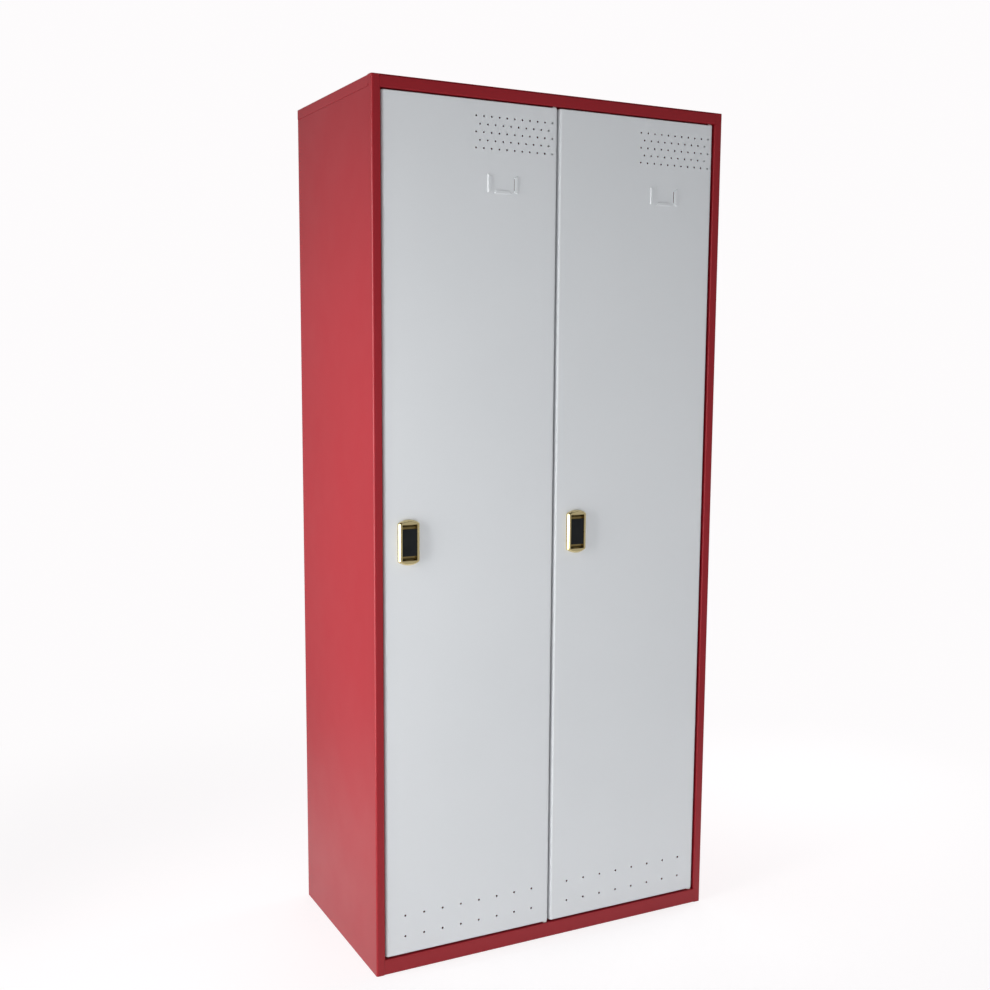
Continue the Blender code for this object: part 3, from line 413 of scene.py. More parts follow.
def rows_of_holes():
    """Circles in rows. With Stagger at 1, every other row is shifted and one shorter."""
    tree, start, end = new_tree("rows_of_holes", hole_inputs, takes_geometry=False)
    columns, rows, pitch, row_pitch, middle, stagger, radius, sides = start.outputs[:8]
    last_column = calc(tree, "SUBTRACT", columns, 1)
    width = calc(tree, "MULTIPLY", last_column, pitch)
    height = calc(tree, "MULTIPLY", calc(tree, "SUBTRACT", rows, 1), row_pitch)
    grid = put(tree, "GeometryNodeMeshGrid",
               {"Size X": width, "Size Y": height, "Vertices X": columns, "Vertices Y": rows})
    index = tree.nodes.new("GeometryNodeInputIndex").outputs[0]
    row = calc(tree, "MODULO", index, rows)
    column = calc(tree, "FLOOR", calc(tree, "DIVIDE", index, rows))
    odd = calc(tree, "MULTIPLY", calc(tree, "MODULO", row, 2), stagger)
    beyond = calc(tree, "GREATER_THAN", column, calc(tree, "SUBTRACT", last_column, 0.5))
    unwanted = calc(tree, "MULTIPLY", odd, beyond)
    shift = calc(tree, "MULTIPLY", odd, calc(tree, "MULTIPLY", pitch, 0.5))
    offset = put(tree, "ShaderNodeCombineXYZ", {"X": shift})
    moved = put(tree, "GeometryNodeSetPosition", {"Geometry": grid, "Offset": offset})
    kept = put(tree, "GeometryNodeDeleteGeometry", {"Geometry": moved, "Selection": unwanted})
    placed = put(tree, "GeometryNodeTransform", {"Geometry": kept, "Translation": middle})
    circle = put(tree, "GeometryNodeCurvePrimitiveCircle", {"Resolution": sides, "Radius": radius})
    holes = put(tree, "GeometryNodeInstanceOnPoints", {"Points": placed, "Instance": circle})
    real = put(tree, "GeometryNodeRealizeInstances", {"Geometry": holes})
    tree.links.new(real, end.inputs[0])
    return tree


hole_rows = rows_of_holes()
print("tree:", hole_rows.name, "with", len(hole_rows.nodes), "nodes")

# %% The pierced sheet
def pierced_sheet():
    """Fills the loops it is given around two sets of holes, and stands the sheet up."""
    sets = ["Vent", "Field"]
    inputs = [(f"{group} {title}", kind) for group in sets for title, kind in hole_inputs]
    inputs += [("Face", "Vector"), ("Paint", "Material")]
    tree, start, end = new_tree("pierced_sheet", inputs)
    get = start.outputs
    loops = put(tree, "GeometryNodeMeshToCurve", {"Mesh": get["Geometry"]})
    join = tree.nodes.new("GeometryNodeJoinGeometry")
    tree.links.new(loops, join.inputs[0])
    for group in sets:
        rows = tree.nodes.new("GeometryNodeGroup")
        rows.node_tree = hole_rows
        for title, kind in hole_inputs:
            tree.links.new(get[f"{group} {title}"], rows.inputs[title])
        tree.links.new(rows.outputs[0], join.inputs[0])
    sheet = put(tree, "GeometryNodeFillCurve", {"Curve": join.outputs[0]})
    upright = put(tree, "GeometryNodeTransform",
                  {"Geometry": sheet, "Translation": get["Face"], "Rotation": (pi / 2, 0, 0)})
    real = put(tree, "GeometryNodeRealizeInstances", {"Geometry": upright})
    painted = put(tree, "GeometryNodeSetMaterial", {"Geometry": real, "Material": get["Paint"]})
    tree.links.new(painted, end.inputs[0])
    return tree


door_sheet_tree = pierced_sheet()
print("tree:", door_sheet_tree.name, "with", len(door_sheet_tree.interface.items_tree), "sockets")

# %% [markdown]
# The card holder is pressed from the same sheet: two ribs and a lip, each sheared open
# along its shorter edge, so that a card slides in behind them. A sculpted bump would have
# no opening. Each one is lofted through shrinking outlines instead, and the faces at its
# slit are left out before the sheet gets its thickness.
# %% Louvres of the card holder
door_low, door_high, door_middle = box_of("door_skin_left")
door_gauge, roll_radius, end_radius, back_lip = 0.0010, 0.0070, 0.0020, 0.0140
louvre_proud, louvre_round, louvre_corner, slit_high = 0.0028, 0.0022, 0.0016, 0.0023
door_face = door_low.y + louvre_proud
holder_right, holder_down, rib_out, rib_up = 0.074, 0.1975, 0.03825, 0.0215
holder_x, holder_foot = door_middle.x + holder_right, door_high.z - holder_down
round_steps, corner_steps = 8, 4
slit_at = 3 * (corner_steps + 1)
slit_ramp = 0.4
# Length, open length and width of each louvre, its ramp, and its crown's fall to the slit.
rib_sizes = (0.043, 0.032, 0.0105, 1.7, 0.25)
lip_sizes = (0.045, 0.033, 0.008, 1.0, 0.3)


def rounded_loop(corners, radius, steps):
    """A closed outline with its corners rounded."""
    points = []
    for i, corner in enumerate(corners):
        back = (corners[i - 1] - corner).normalized()
        on = (corners[(i + 1) % len(corners)] - corner).normalized()
        half = back.angle(on) / 2
        centre = corner + (back + on).normalized() * radius / sin(half)
        first = corner + back * radius / (sin(half) / cos(half)) - centre
        turn = pi - 2 * half
        direction = 1 if back.cross(on) < 0 else -1
        for step in range(steps + 1):
            spoke = first.copy()
            spoke.rotate(Matrix.Rotation(direction * turn * step / steps, 2))
            points.append(centre + spoke)
    return points


def loft(form, rings, left_out=()):
    """Walls between rings of points. Each wall left out is a (level, place) pair."""
    for level, (ring, following) in enumerate(zip(rings, rings[1:])):
        for i in range(len(ring)):
            if (level, i) not in left_out:
                j = (i + 1) % len(ring)
                form.faces.new((ring[i], ring[j], following[j], following[i]))


def louvre_outline(length, open_length, width, inset, ramp):
    """A louvre's outline as (along, across). The ramp sets its closed side further in."""
    slope = (length - open_length) / 2 / width
    low, high = inset * ramp, width - inset * slit_ramp
    end = inset * sqrt(1 + slope**2)
    corners = [
        Vector((sign * (length / 2 - slope * across - end), across))
        for sign, across in ((-1, low), (1, low), (1, high), (-1, high))
    ]
    radius = max(louvre_corner - inset / 2, louvre_corner / 4)
    loop = rounded_loop(corners, radius, corner_steps)
    slit = open_length / 2 - louvre_proud
    return loop[:slit_at] + [Vector((slit, high)), Vector((-slit, high))] + loop[slit_at:]


def louvre(form, length, open_length, width, ramp, fall, place):
    """Adds one louvre, whose crown falls to its slit, and returns the loop to leave open."""
    lift = louvre_proud - louvre_round
    start = atan2(slit_high - lift, sqrt(louvre_round**2 - (slit_high - lift) ** 2))
    turns = [start + (pi / 2 - start) * i / round_steps for i in range(round_steps + 1)]
    stages = [(0, 0)]
    stages += [(louvre_round * (1 - cos(t)), lift + louvre_round * sin(t)) for t in turns]
    rings = [
        [form.verts.new(place(p.x, p.y, height * (1 - fall * p.y / width)))
         for p in louvre_outline(length, open_length, width, inset, ramp)]
        for inset, height in stages
    ]
    loft(form, rings, {(0, slit_at)})
    form.faces.new(rings[-1])
    return [vertex.co.copy() for vertex in rings[0]]


def on_left(along, across, height):
    return holder_x - rib_out + across, door_face - height, holder_foot + rib_up + along


def on_right(along, across, height):
    return holder_x + rib_out - across, door_face - height, holder_foot + rib_up + along


def on_lip(along, across, height):
    return holder_x + along, door_face - height, holder_foot + across


shell = bmesh.new()
openings = [
    louvre(shell, *rib_sizes, on_left),
    louvre(shell, *rib_sizes, on_right),
    louvre(shell, *lip_sizes, on_lip),
]
print("louvres:", len(openings), "faces:", len(shell.faces))

# %% The flat face with its holes
face_low = Vector((door_low.x + roll_radius, door_low.z + end_radius))
face_high = Vector((door_high.x - roll_radius, door_high.z - end_radius))
lock_low, lock_high, lock_middle = box_of("lock_bezel_left")
lock_centre, neck_half = Vector((lock_middle.x, lock_middle.z)), Vector((0.017, 0.040))
vent_up, field_side, field_down = 0.1075, 0.014, 0.034
field_half_width, field_half_height = 0.095, 0.034


def rectangle(low, high):
    return [Vector(p) for p in ((low.x, low.y), (high.x, low.y), (high.x, high.y), (low.x, high.y))]


def wire(form, points):
    """A closed loop of edges through points."""
    corners = [form.verts.new(point) for point in points]
    return [form.edges.new(pair) for pair in zip(corners, corners[1:] + corners[:1])]


flat_loops = [rectangle(face_low, face_high)]
flat_loops += [rectangle(lock_centre - neck_half, lock_centre + neck_half)]
flat_loops += [[Vector((point.x, point.z)) for point in loop] for loop in openings]
flat_form = bmesh.new()
for loop in flat_loops:
    wire(flat_form, [(point.x, point.y, 0) for point in loop])
guide = mesh_object("loops", flat_form)
field_x = door_high.x - field_side - field_half_width
field_z = door_high.z - field_down - field_half_height
vents = {"Columns": 8, "Rows": 2, "Pitch": 0.047, "Row Pitch": 0.050,
         "Middle": (door_middle.x, vent_up, 0), "Stagger": 0.0, "Radius": 0.0026, "Sides": 20}
field = {"Columns": 11, "Rows": 5, "Pitch": 0.019, "Row Pitch": 0.017,
         "Middle": (field_x, field_z, 0), "Stagger": 1.0, "Radius": 0.0022, "Sides": 16}
values = {"Face": (0, door_face, 0), "Paint": finishes["grey_paint"]}
values.update({"Vent " + name: value for name, value in vents.items()})
values.update({"Field " + name: value for name, value in field.items()})
flat_mesh = worked(guide, "door_face", door_sheet_tree, values)
bpy.data.objects.remove(guide)
shell.from_mesh(flat_mesh)
print("pierced face:", len(flat_mesh.vertices), "points,", len(flat_mesh.polygons), "faces")

# %% The rolled edges, the ends and the back lip
roll_steps, end_steps, rise_steps = 12, 5, 6
same_place = 0.000005


def arc(centre, radius, start, end, steps):
    turns = [start + (end - start) * i / steps for i in range(steps + 1)]
    return [(centre[0] + radius * cos(t), centre[1] + radius * sin(t)) for t in turns]


def plan_ring(inset, z):
    """The door's outline from above, from one end of its flat face round to the other."""
    rolled, tight = roll_radius - inset, end_radius - inset
    left, right = door_low.x, door_high.x
    front, rear = door_face + roll_radius, door_high.y - end_radius
    points = arc((left + roll_radius, front), rolled, -pi / 2, -pi, roll_steps)
    points += arc((left + end_radius, rear), tight, pi, pi / 2, end_steps)
    points += arc((right - end_radius, rear), tight, pi / 2, 0, end_steps)
    points += arc((right - roll_radius, front), rolled, 0, -pi / 2, roll_steps)
    return [(x, y, z) for x, y in points]


turns = [pi / 2 / rise_steps * i for i in range(rise_steps + 1)]
quarter = [(end_radius * (1 - sin(t)), end_radius * (1 - cos(t))) for t in turns]
levels = [(inset, door_low.z + rise) for inset, rise in quarter]
levels += [(inset, door_high.z - rise) for inset, rise in reversed(quarter)]
rings = [[shell.verts.new(point) for point in plan_ring(inset, z)] for inset, z in levels]
side_wall, rear_gap, front_gap = rise_steps, roll_steps + end_steps + 1, len(rings[0]) - 1
loft(shell, rings, {(side_wall, rear_gap), (side_wall, front_gap)})
bmesh.ops.remove_doubles(shell, verts=shell.verts, dist=same_place)
print("points so far:", len(shell.verts))

# %% [markdown]
# The two ends and the open back are flat frames round a hole: a bush sits in each end, and
# the back's hole leaves the lip. Each is filled between its two outlines. Solidify then gives
# the whole sheet its gauge on the inside, and weighted normals keep the flats flat beside
# the rolled edges.
# %% Ends, back lip and thickness
bush_hole, bush_sides, nearest = 0.0047, 32, 0.00001


def fill_between(form, loops):
    """Fills the flat area between closed loops of points."""
    edges = [edge for loop in loops for edge in wire(form, loop)]
    bmesh.ops.triangle_fill(form, edges=edges, use_beauty=True)


def without_repeats(points):
    kept = []
    for point in points:
        if all((Vector(point) - Vector(other)).length > nearest for other in kept):
            kept.append(point)
    return kept


pivot = box_of("pivot_bush_lower_left")[2]
for z in (door_low.z, door_high.z):
    hole = [(x, y, z) for x, y in arc(pivot, bush_hole, 0, 2 * pi, bush_sides)[:-1]]
    fill_between(shell, [without_repeats(plan_ring(end_radius, z)), hole])
rear_low = Vector((door_low.x + end_radius, door_low.z + end_radius))
rear_high = Vector((door_high.x - end_radius, door_high.z - end_radius))
lip = Vector((back_lip, back_lip))
window = rounded_loop(rectangle(door_low.xz + lip, door_high.xz - lip), end_radius, corner_steps)
rear = [rectangle(rear_low, rear_high), window]
fill_between(shell, [[(point.x, door_high.y, point.y) for point in loop] for loop in rear])
bmesh.ops.remove_doubles(shell, verts=shell.verts, dist=same_place)
bmesh.ops.recalc_face_normals(shell, faces=shell.faces)
print("open edges of the bare sheet:", sum(edge.is_boundary for edge in shell.edges))


def settled(piece):
    """Turns a piece and its modifiers into a plain mesh."""
    graph = bpy.context.evaluated_depsgraph_get()
    graph.update()
    done = bpy.data.meshes.new_from_object(piece.evaluated_get(graph), depsgraph=graph)
    piece.modifiers.clear()
    piece.data = done
    done.name = piece.name


def shaded(piece, sharp=50):
    """Smooths a piece's curves and keeps its flats flat and its edges crisp."""
    piece.data.shade_smooth()
    piece.data.set_sharp_from_angle(angle=radians(sharp))
    piece.modifiers.new("flats", "WEIGHTED_NORMAL").keep_sharp = True
    settled(piece)
    return piece


def stand_for(piece, body, slot, *replaced):
    """Says which body carries a piece and the solids that it stands for. The slot is not used."""
    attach(piece, body)
    if replaced:
        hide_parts(*replaced)


def on_both_doors(piece, slot, *replaced):
    """Copies a left door's piece to the right door, and says what both stand for."""
    copy = bpy.data.objects.new(piece.name.replace("left", "right"), piece.data.copy())
    bpy.context.scene.collection.objects.link(copy)
    copy.data.name = copy.name
    copy.data.transform(Matrix.Translation((door_pitch, 0, 0)))
    for one, side in ((piece, "left"), (copy, "right")):
        stand_for(one, f"door_{side}", slot, *(f"{name}_{side}" for name in replaced))
    print(piece.name, "and its copy:", len(piece.data.polygons), "faces each")


door_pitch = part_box("door_skin_right")[0][0] - door_low.x
door_pan_left = mesh_object("door_pan_left", shell, finishes["grey_paint"])
faces = door_pan_left.data.polygons
faces.foreach_set("material_index", [0] * len(faces))
wall = door_pan_left.modifiers.new("wall", "SOLIDIFY")
wall.thickness, wall.offset, wall.use_even_offset = door_gauge, -1, True
settled(door_pan_left)
on_both_doors(shaded(door_pan_left), "grey_paint", "door_skin")

# %% [markdown]
# ## The locks' fronts
#
# The front of each lock is a polished gold casting: an upright rim, a broad bevel and a sunk
# window, which goes down in a round hollow at each end. A box with a bevel modifier cannot
# give the shallow arch at both ends. The rim and bevel are lofted from one arched outline
# that is drawn smaller at each height, and the window is cut out of it.
# %% The arched outline
def arched_loop(half, crown, rise, corner, inset, steps):
    """Two upright sides and two shallow arches, each inset by the same distance."""
    radius = (half**2 + rise**2) / (2 * rise) - inset
    half, crown = half - inset, crown - inset
    centre = crown - radius
    reach = radius - corner
    turn_x = half - corner
    turn_z = centre + sqrt(reach**2 - turn_x**2)
    lean = atan2(turn_x, turn_z - centre)
    upper = arc((turn_x, turn_z), corner, 0, pi / 2 - lean, steps)
    upper += arc((0, centre), radius, pi / 2 - lean, pi / 2 + lean, 4 * steps)[1:-1]
    upper += arc((-turn_x, turn_z), corner, pi / 2 + lean, pi, steps)
    return upper + [(-x, -z) for x, z in upper]


lock_half = (lock_high.x - lock_low.x) / 2
lock_crown = (lock_high.z - lock_low.z) / 2
lock_rear, lock_face = lock_high.y, lock_low.y
lock_rise, lock_corner, lock_steps = 0.008, 0.0055, 6
window_side, window_end = 0.0070, 0.0104
window_half, window_crown = lock_half - window_side, lock_crown - window_end
window_rise, window_corner, window_depth = 0.0040, 0.0032, 0.0052
cup_radius, cup_sides = 0.0080, 64
print("lock front:", round(2000 * lock_half, 1), "by", round(2000 * lock_crown, 1), "mm")

# %% Lock fronts
rim_high, rim_soft, bevel_wide, clear_front = 0.0070, 0.0007, 0.0032, lock_face - 0.004


def closed_solid(name, form, rings):
    """A solid between rings of points, with a face over each end."""
    loft(form, rings)
    form.faces.new(rings[0])
    form.faces.new(rings[-1])
    bmesh.ops.recalc_face_normals(form, faces=form.faces)
    return mesh_object(name, form, finishes["gilt"])


def lock_ring(form, inset, y):
    corner = lock_corner - inset / 2
    points = arched_loop(lock_half, lock_crown, lock_rise, corner, inset, lock_steps)
    return [form.verts.new((lock_middle.x + x, y, lock_middle.z + z)) for x, z in points]


def lock_front():
    """The rim and the bevel, lofted through (inset, depth) stages from back to front."""
    bevel, soft, shoulder = bevel_wide, rim_soft, lock_rear - rim_high
    profile = [(0, lock_rear), (0, shoulder + soft)]
    profile += [(soft * (1 - cos(t)), shoulder + soft - soft * sin(t)) for t in (0.3, 0.6, 0.9)]
    profile += [(bevel - soft, lock_face + soft * 0.8)]
    profile += [(bevel - soft * 0.5, lock_face + soft * 0.35)]
    profile += [(bevel, lock_face + soft * 0.1), (bevel + soft * 0.5, lock_face)]
    form = bmesh.new()
    rings = [lock_ring(form, inset, y) for inset, y in profile]
    return closed_solid("lock_front_left", form, rings)


def prism(outline, near, far):
    """A solid between two copies of an outline, one behind the other."""
    form = bmesh.new()
    rings = [[form.verts.new((x, y, z)) for x, z in outline] for y in (near, far)]
    return closed_solid("tool", form, rings)


def cup(end, inset):
    """A lying drum with the shape of the round hollow at one end of the window."""
    radius, reach = cup_radius - inset, window_half - inset
    x, y, z = lock_middle.x, lock_face, lock_middle.z + end * (window_crown - cup_radius)
    turns = [2 * pi * (i + 0.5) / cup_sides for i in range(cup_sides)]
    form = bmesh.new()
    rings = [
        [form.verts.new((x + side, y + radius * cos(t), z + radius * sin(t))) for t in turns]
        for side in (-reach, reach)
    ]
    return closed_solid("tool", form, rings)


def window_outline(inset):
    loop = arched_loop(window_half, window_crown, window_rise, window_corner, inset, lock_steps)
    return [(lock_middle.x + x, lock_middle.z + z) for x, z in loop]


def combine(piece, tool, operation="DIFFERENCE"):
    """Cuts a tool's shape out of a piece, or joins it on, and removes the tool."""
    change = piece.modifiers.new("change", "BOOLEAN")
    change.operation, change.solver, change.object = operation, "EXACT", tool
    settled(piece)
    bpy.data.objects.remove(tool)


lock_front_left = lock_front()
combine(lock_front_left, prism(window_outline(0), clear_front, lock_face + window_depth))
for end in (-1, 1):
    combine(lock_front_left, cup(end, 0))
on_both_doors(shaded(lock_front_left, 30), "gilt", "lock_bezel")

# %% [markdown]
# The hollows are lined with a thin sheet of dark bronze-gold. It is painted shade: it makes
# them look darker than the gold round them, as the shade in them does. The liner is the
# hollow's own shape filled, and then cut by the same shape a little smaller, so it follows the
# casting at an even gap.
# %% Liners of painted shade in the hollows
liner_gap, liner_wall, liner_sunk, liner_deep = 0.0001, 0.0004, 0.0004, 0.0051
liner_front, liner_rear = lock_face + liner_sunk, lock_face + liner_deep
far_front = lock_face - 0.02


def hollow(inset, near, far):
    """The window's whole hollow, drawn smaller by an inset."""
    shape = prism(window_outline(inset), near, far)
    for end in (-1, 1):
        combine(shape, cup(end, inset), "UNION")
    return shape


lock_liner_left = hollow(liner_gap, liner_front, liner_rear)
combine(lock_liner_left, hollow(liner_gap + liner_wall, clear_front, liner_rear - liner_wall))
corners = ((-1, -1), (1, -1), (1, 1), (-1, 1))
square = [(lock_middle.x + x, lock_middle.z + z) for x, z in corners]
combine(lock_liner_left, prism(square, far_front, liner_front))
lock_liner_left.name = lock_liner_left.data.name = "lock_liner_left"
# The dark bronze-gold on the liner is painted shade in the hollows.
lock_liner_left.data.materials.clear()
lock_liner_left.data.materials.append(finishes["painted_shade_gold"])
on_both_doors(shaded(lock_liner_left, 30), "gilt")

# %% [markdown]
# The reader is a plain black glass panel between the two hollows. Its edges are rounded by a
# bevel modifier, because a bevel on straight edges is all it needs.
# %% Reader panels
glass_edge = 0.0006
glass_low, glass_high, glass_middle = box_of("lock_glass_left")
form = bmesh.new()
block = Matrix.LocRotScale(glass_middle, None, glass_high - glass_low)
bmesh.ops.create_cube(form, size=1, matrix=block)
reader_panel_left = mesh_object("reader_panel_left", form, finishes["reader_panel"])
edge = reader_panel_left.modifiers.new("soft_edge", "BEVEL")
edge.width, edge.segments, edge.limit_method = glass_edge, 4, "ANGLE"
settled(reader_panel_left)
on_both_doors(shaded(reader_panel_left), "reader_panel", "lock_glass")

# %% [markdown]
# ## Softened sheet edges
#
# Cut and folded steel never has a perfectly sharp edge, and the paint rounds it further. A
# bright line along each edge is what makes sheet look like sheet. The solids have sharp
# edges and small facets, so each one is copied, its loose triangles are joined, and a narrow
# bevel and smooth shading are added. A piece's shortest edge holds its whole bevel back, so the
# folded sheets, whose facets are short, have a bevel without that limit, and a narrower one
# where it would fold over. The side sheets' floor flanges have square corners, which are
# drawn in behind the round folds.
# %% Softened copies of the solids
bodies = frame["record"]["behaviour"]["bodies"]
body_of_node = {name: body for body, names in bodies.items() for name in names}
sheet_gauge, front_fold, rear_fold, fold_facet = 0.0012, 0.0044, 0.0022, radians(15)
same_point, short_edge, flat_angle = 0.000002, 0.00002, radians(0.3)
edge_wide, edge_narrow, edge_angle = 0.0003, 0.00019, radians(40)
past_fold, flange_share = 1.02, 1.5
edge_widths = {
    "side_panel_left": edge_narrow, "side_panel_right": edge_narrow, "top_rail": edge_narrow,
    "floor_panel": edge_narrow, "centre_partition": edge_wide, "bottom_rail": edge_wide,
}


def tuck_corners(form, name):
    """Draws a side sheet's floor flange in, where its square corners pass the folds."""
    low, high, middle = box_of(name)
    outside, inward = (low.x, 1) if middle.x < 0 else (high.x, -1)
    for y, forward, radius in ((low.y, 1, front_fold), (high.y, -1, rear_fold)):
        centre = Vector((outside + inward * radius, y + forward * radius))
        for vertex in form.verts:
            away = vertex.co.xy - centre
            outer = away.x * inward < 0 and away.y * forward < 0
            on_flange = vertex.co.z < sheet_gauge * flange_share
            if outer and on_flange and away.length > radius * past_fold:
                vertex.co.xy = centre + away.normalized() * radius * cos(fold_facet)


def softened(name):
    """A copy of one solid with joined faces, narrow bevels and smooth curves."""
    form = bmesh.new()
    form.from_mesh(nodes[name].data)
    bmesh.ops.remove_doubles(form, verts=form.verts, dist=same_point)
    if name.startswith("side_panel"):
        tuck_corners(form, name)
    bmesh.ops.dissolve_degenerate(form, edges=form.edges, dist=short_edge)
    bmesh.ops.dissolve_limit(form, angle_limit=flat_angle, verts=form.verts, edges=form.edges)
    piece = mesh_object(name + "_finished", form, finishes[slot_of[name]])
    bevel = piece.modifiers.new("edge", "BEVEL")
    bevel.width, bevel.segments = edge_widths.get(name, edge_wide), 2
    bevel.limit_method, bevel.angle_limit = "ANGLE", edge_angle
    bevel.use_clamp_overlap = name not in edge_widths
    settled(piece)
    shaded(piece, 35)
    stand_for(piece, body_of_node[name], slot_of[name], name)
    return piece


already = ("door_skin", "lock_bezel", "lock_glass")
finished = [softened(name) for name in sorted(nodes) if not name.startswith(already)]
print("softened copies:", len(finished))

# %% [markdown]
# ## Screws and rivets
#
# Small fasteners repeat all over the inside: rivets hold the shelf angles and the keepers,
# and screws hold the rods' cups and the lock cases. Placing each head by hand would take a
# copy of the same mesh every time. A tree makes one head, cuts its drive into it and puts
# it on every point that it is given, turned to the direction stored on that point.
# %% A tree for fastener heads
def fastener_heads():
    """A domed head on every point, with a cross for a driver or a rivet's small hole."""
    tree, start, end = new_tree(
        "fastener_heads",
        [("Radius", "Float"), ("Height", "Float"), ("Drive Depth", "Float"),
         ("Drive Width", "Float"), ("Is Screw", "Bool"), ("Seed", "Int"), ("Metal", "Material")],
    )
    get = start.outputs
    ball = put(tree, "GeometryNodeMeshUVSphere", {"Segments": 24, "Rings": 12, "Radius": 1.0})
    size = put(tree, "ShaderNodeCombineXYZ",
               {"X": get["Radius"], "Y": get["Radius"], "Z": get["Height"]})
    dome = put(tree, "GeometryNodeTransform", {"Geometry": ball, "Scale": size})
    span = calc(tree, "MULTIPLY", get["Radius"], 1.2)
    depth = calc(tree, "MULTIPLY", get["Drive Depth"], 2.0)
    arm = put(tree, "ShaderNodeCombineXYZ", {"X": span, "Y": get["Drive Width"], "Z": depth})
    other = put(tree, "ShaderNodeCombineXYZ", {"X": get["Drive Width"], "Y": span, "Z": depth})
    raised = put(tree, "ShaderNodeCombineXYZ", {"Z": get["Height"]})
    cuts = [
        put(tree, "GeometryNodeTransform",
            {"Geometry": put(tree, "GeometryNodeMeshCube", {"Size": side}), "Translation": raised})
        for side in (arm, other)
    ]
    hole = put(tree, "GeometryNodeMeshCylinder",
               {"Vertices": 16, "Radius": get["Drive Width"], "Depth": depth})
    hole = put(tree, "GeometryNodeTransform", {"Geometry": hole, "Translation": raised})
    heads = []
    for tools in (cuts, [hole]):
        cutter = tree.nodes.new("GeometryNodeMeshBoolean")
        cutter.operation, cutter.solver = "DIFFERENCE", "EXACT"
        tree.links.new(dome, cutter.inputs["Mesh 1"])
        for tool in tools:
            tree.links.new(tool, cutter.inputs["Mesh 2"])
        heads.append(cutter.outputs["Mesh"])
    choice = tree.nodes.new("GeometryNodeSwitch")
    choice.input_type = "GEOMETRY"
    tree.links.new(get["Is Screw"], choice.inputs["Switch"])
    tree.links.new(heads[1], choice.inputs["False"])
    tree.links.new(heads[0], choice.inputs["True"])
    facing = tree.nodes.new("GeometryNodeInputNamedAttribute")
    facing.data_type = "FLOAT_VECTOR"
    facing.inputs["Name"].default_value = "facing"
    aligned = tree.nodes.new("FunctionNodeAlignRotationToVector")
    aligned.axis = "Z"
    tree.links.new(facing.outputs["Attribute"], aligned.inputs["Vector"])
    spin = tree.nodes.new("FunctionNodeRandomValue")
    spin.data_type = "FLOAT"
    spin.inputs["Max"].default_value = pi
    tree.links.new(get["Seed"], spin.inputs["Seed"])
    own_turn = put(tree, "ShaderNodeCombineXYZ", {"Z": spin.outputs["Value"]})
    euler = tree.nodes.new("FunctionNodeEulerToRotation")
    tree.links.new(own_turn, euler.inputs[0])
    turned = tree.nodes.new("FunctionNodeRotateRotation")
    turned.rotation_space = "LOCAL"
    tree.links.new(aligned.outputs["Rotation"], turned.inputs["Rotation"])
    tree.links.new(euler.outputs["Rotation"], turned.inputs["Rotate By"])
    placed = put(tree, "GeometryNodeInstanceOnPoints",
                 {"Points": get["Geometry"], "Instance": choice.outputs["Output"],
                  "Rotation": turned.outputs["Rotation"]})
    real = put(tree, "GeometryNodeRealizeInstances", {"Geometry": placed})
    metal = put(tree, "GeometryNodeSetMaterial", {"Geometry": real, "Material": get["Metal"]})
    tree.links.new(metal, end.inputs[0])
    return tree


head_tree = fastener_heads()
print("tree:", head_tree.name, "with", len(head_tree.nodes), "nodes")

# %% Where the fasteners sit
cup_flange, cup_screw_out = 0.0022, 0.0160
runner_gauge, runner_rivet_up, runner_shares = 0.0012, 0.0065, (0.12, 0.5, 0.88)
keeper_rivet_in, keeper_gauge, keeper_rivet_out = 0.0055, 0.0015, 0.0195
case_screw_x, case_screw_z = 0.0245, 0.0500
drive_deep, cross_wide, hole_wide = 0.6, 0.26, 0.36


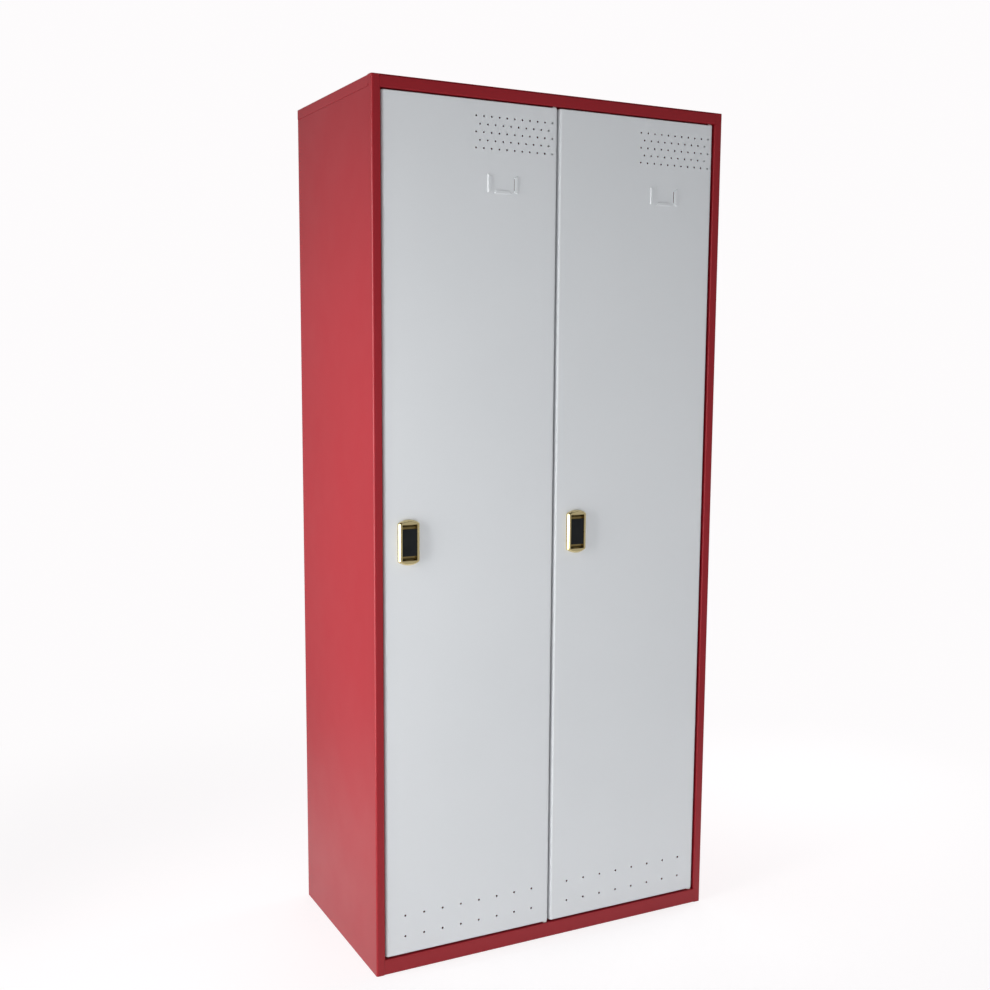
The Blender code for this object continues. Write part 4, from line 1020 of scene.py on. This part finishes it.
def fasteners(name, body, places, screw, radius, height, seed):
    """One mesh of heads. Each place is a point and the direction that its head faces."""
    mesh = bpy.data.meshes.new(name)
    mesh.from_pydata([point for point, facing in places], [], [])
    stored = mesh.attributes.new("facing", "FLOAT_VECTOR", "POINT")
    for item, (point, facing) in zip(stored.data, places):
        item.vector = facing
    piece = bpy.data.objects.new(name, mesh)
    bpy.context.scene.collection.objects.link(piece)
    drive = {"Drive Depth": height * drive_deep,
             "Drive Width": radius * (cross_wide if screw else hole_wide), "Is Screw": screw}
    values = {"Radius": radius, "Height": height, "Seed": seed,
              "Metal": finishes["plated_steel"], **drive}
    piece.data = worked(piece, name, head_tree, values)
    shaded(piece, 35)
    stand_for(piece, body, "plated_steel")


def inner_faces(kind, gauge):
    """The box, the face to the compartment and the way it looks, of four thin pieces."""
    for side, turn in (("left", 1), ("right", -1)):
        for place, way in (("outer", turn), ("inner", -turn)):
            low, high, middle = box_of(f"{kind}_{side}_{place}")
            yield low, high, middle, low.x + gauge if way > 0 else high.x - gauge, way


cup_screws = [
    ((x, turn * cup_screw_out, middle.z), (way, 0, 0))
    for low, high, middle, x, way in inner_faces("rod_cup", cup_flange) for turn in (1, -1)
]
runner_rivets = [
    ((x, low.y + (high.y - low.y) * share, low.z + runner_rivet_up), (way, 0, 0))
    for low, high, middle, x, way in inner_faces("shelf_runner", runner_gauge)
    for share in runner_shares
]
keeper_rivets = []
for side in ("left", "right"):
    low, high, middle = box_of(f"lock_keeper_{side}")
    x, y = low.x + keeper_rivet_in, low.y + keeper_gauge
    keeper_rivets += [((x, y, middle.z + end * keeper_rivet_out), (0, 1, 0)) for end in (-1, 1)]
fasteners("rod_cup_screws", "carcass", cup_screws, True, 0.0022, 0.0011, 3)
fasteners("shelf_rivets", "carcass", runner_rivets, False, 0.0024, 0.0010, 5)
fasteners("keeper_rivets", "carcass", keeper_rivets, False, 0.0020, 0.0010, 7)
for side in ("left", "right"):
    low, high, middle = box_of(f"lock_case_{side}")
    corners = [
        ((middle.x + x * case_screw_x, high.y, middle.z + z * case_screw_z), (0, 1, 0))
        for x in (-1, 1) for z in (-1, 1)
    ]
    fasteners(f"case_screws_{side}", f"door_{side}", corners, True, 0.0028, 0.0012, 9)
rivets = len(runner_rivets) + len(keeper_rivets)
print("fasteners on the carcass:", len(cup_screws), "screws and", rivets, "rivets")

# %% Finish
bpy.context.scene.view_settings.view_transform = "Standard"
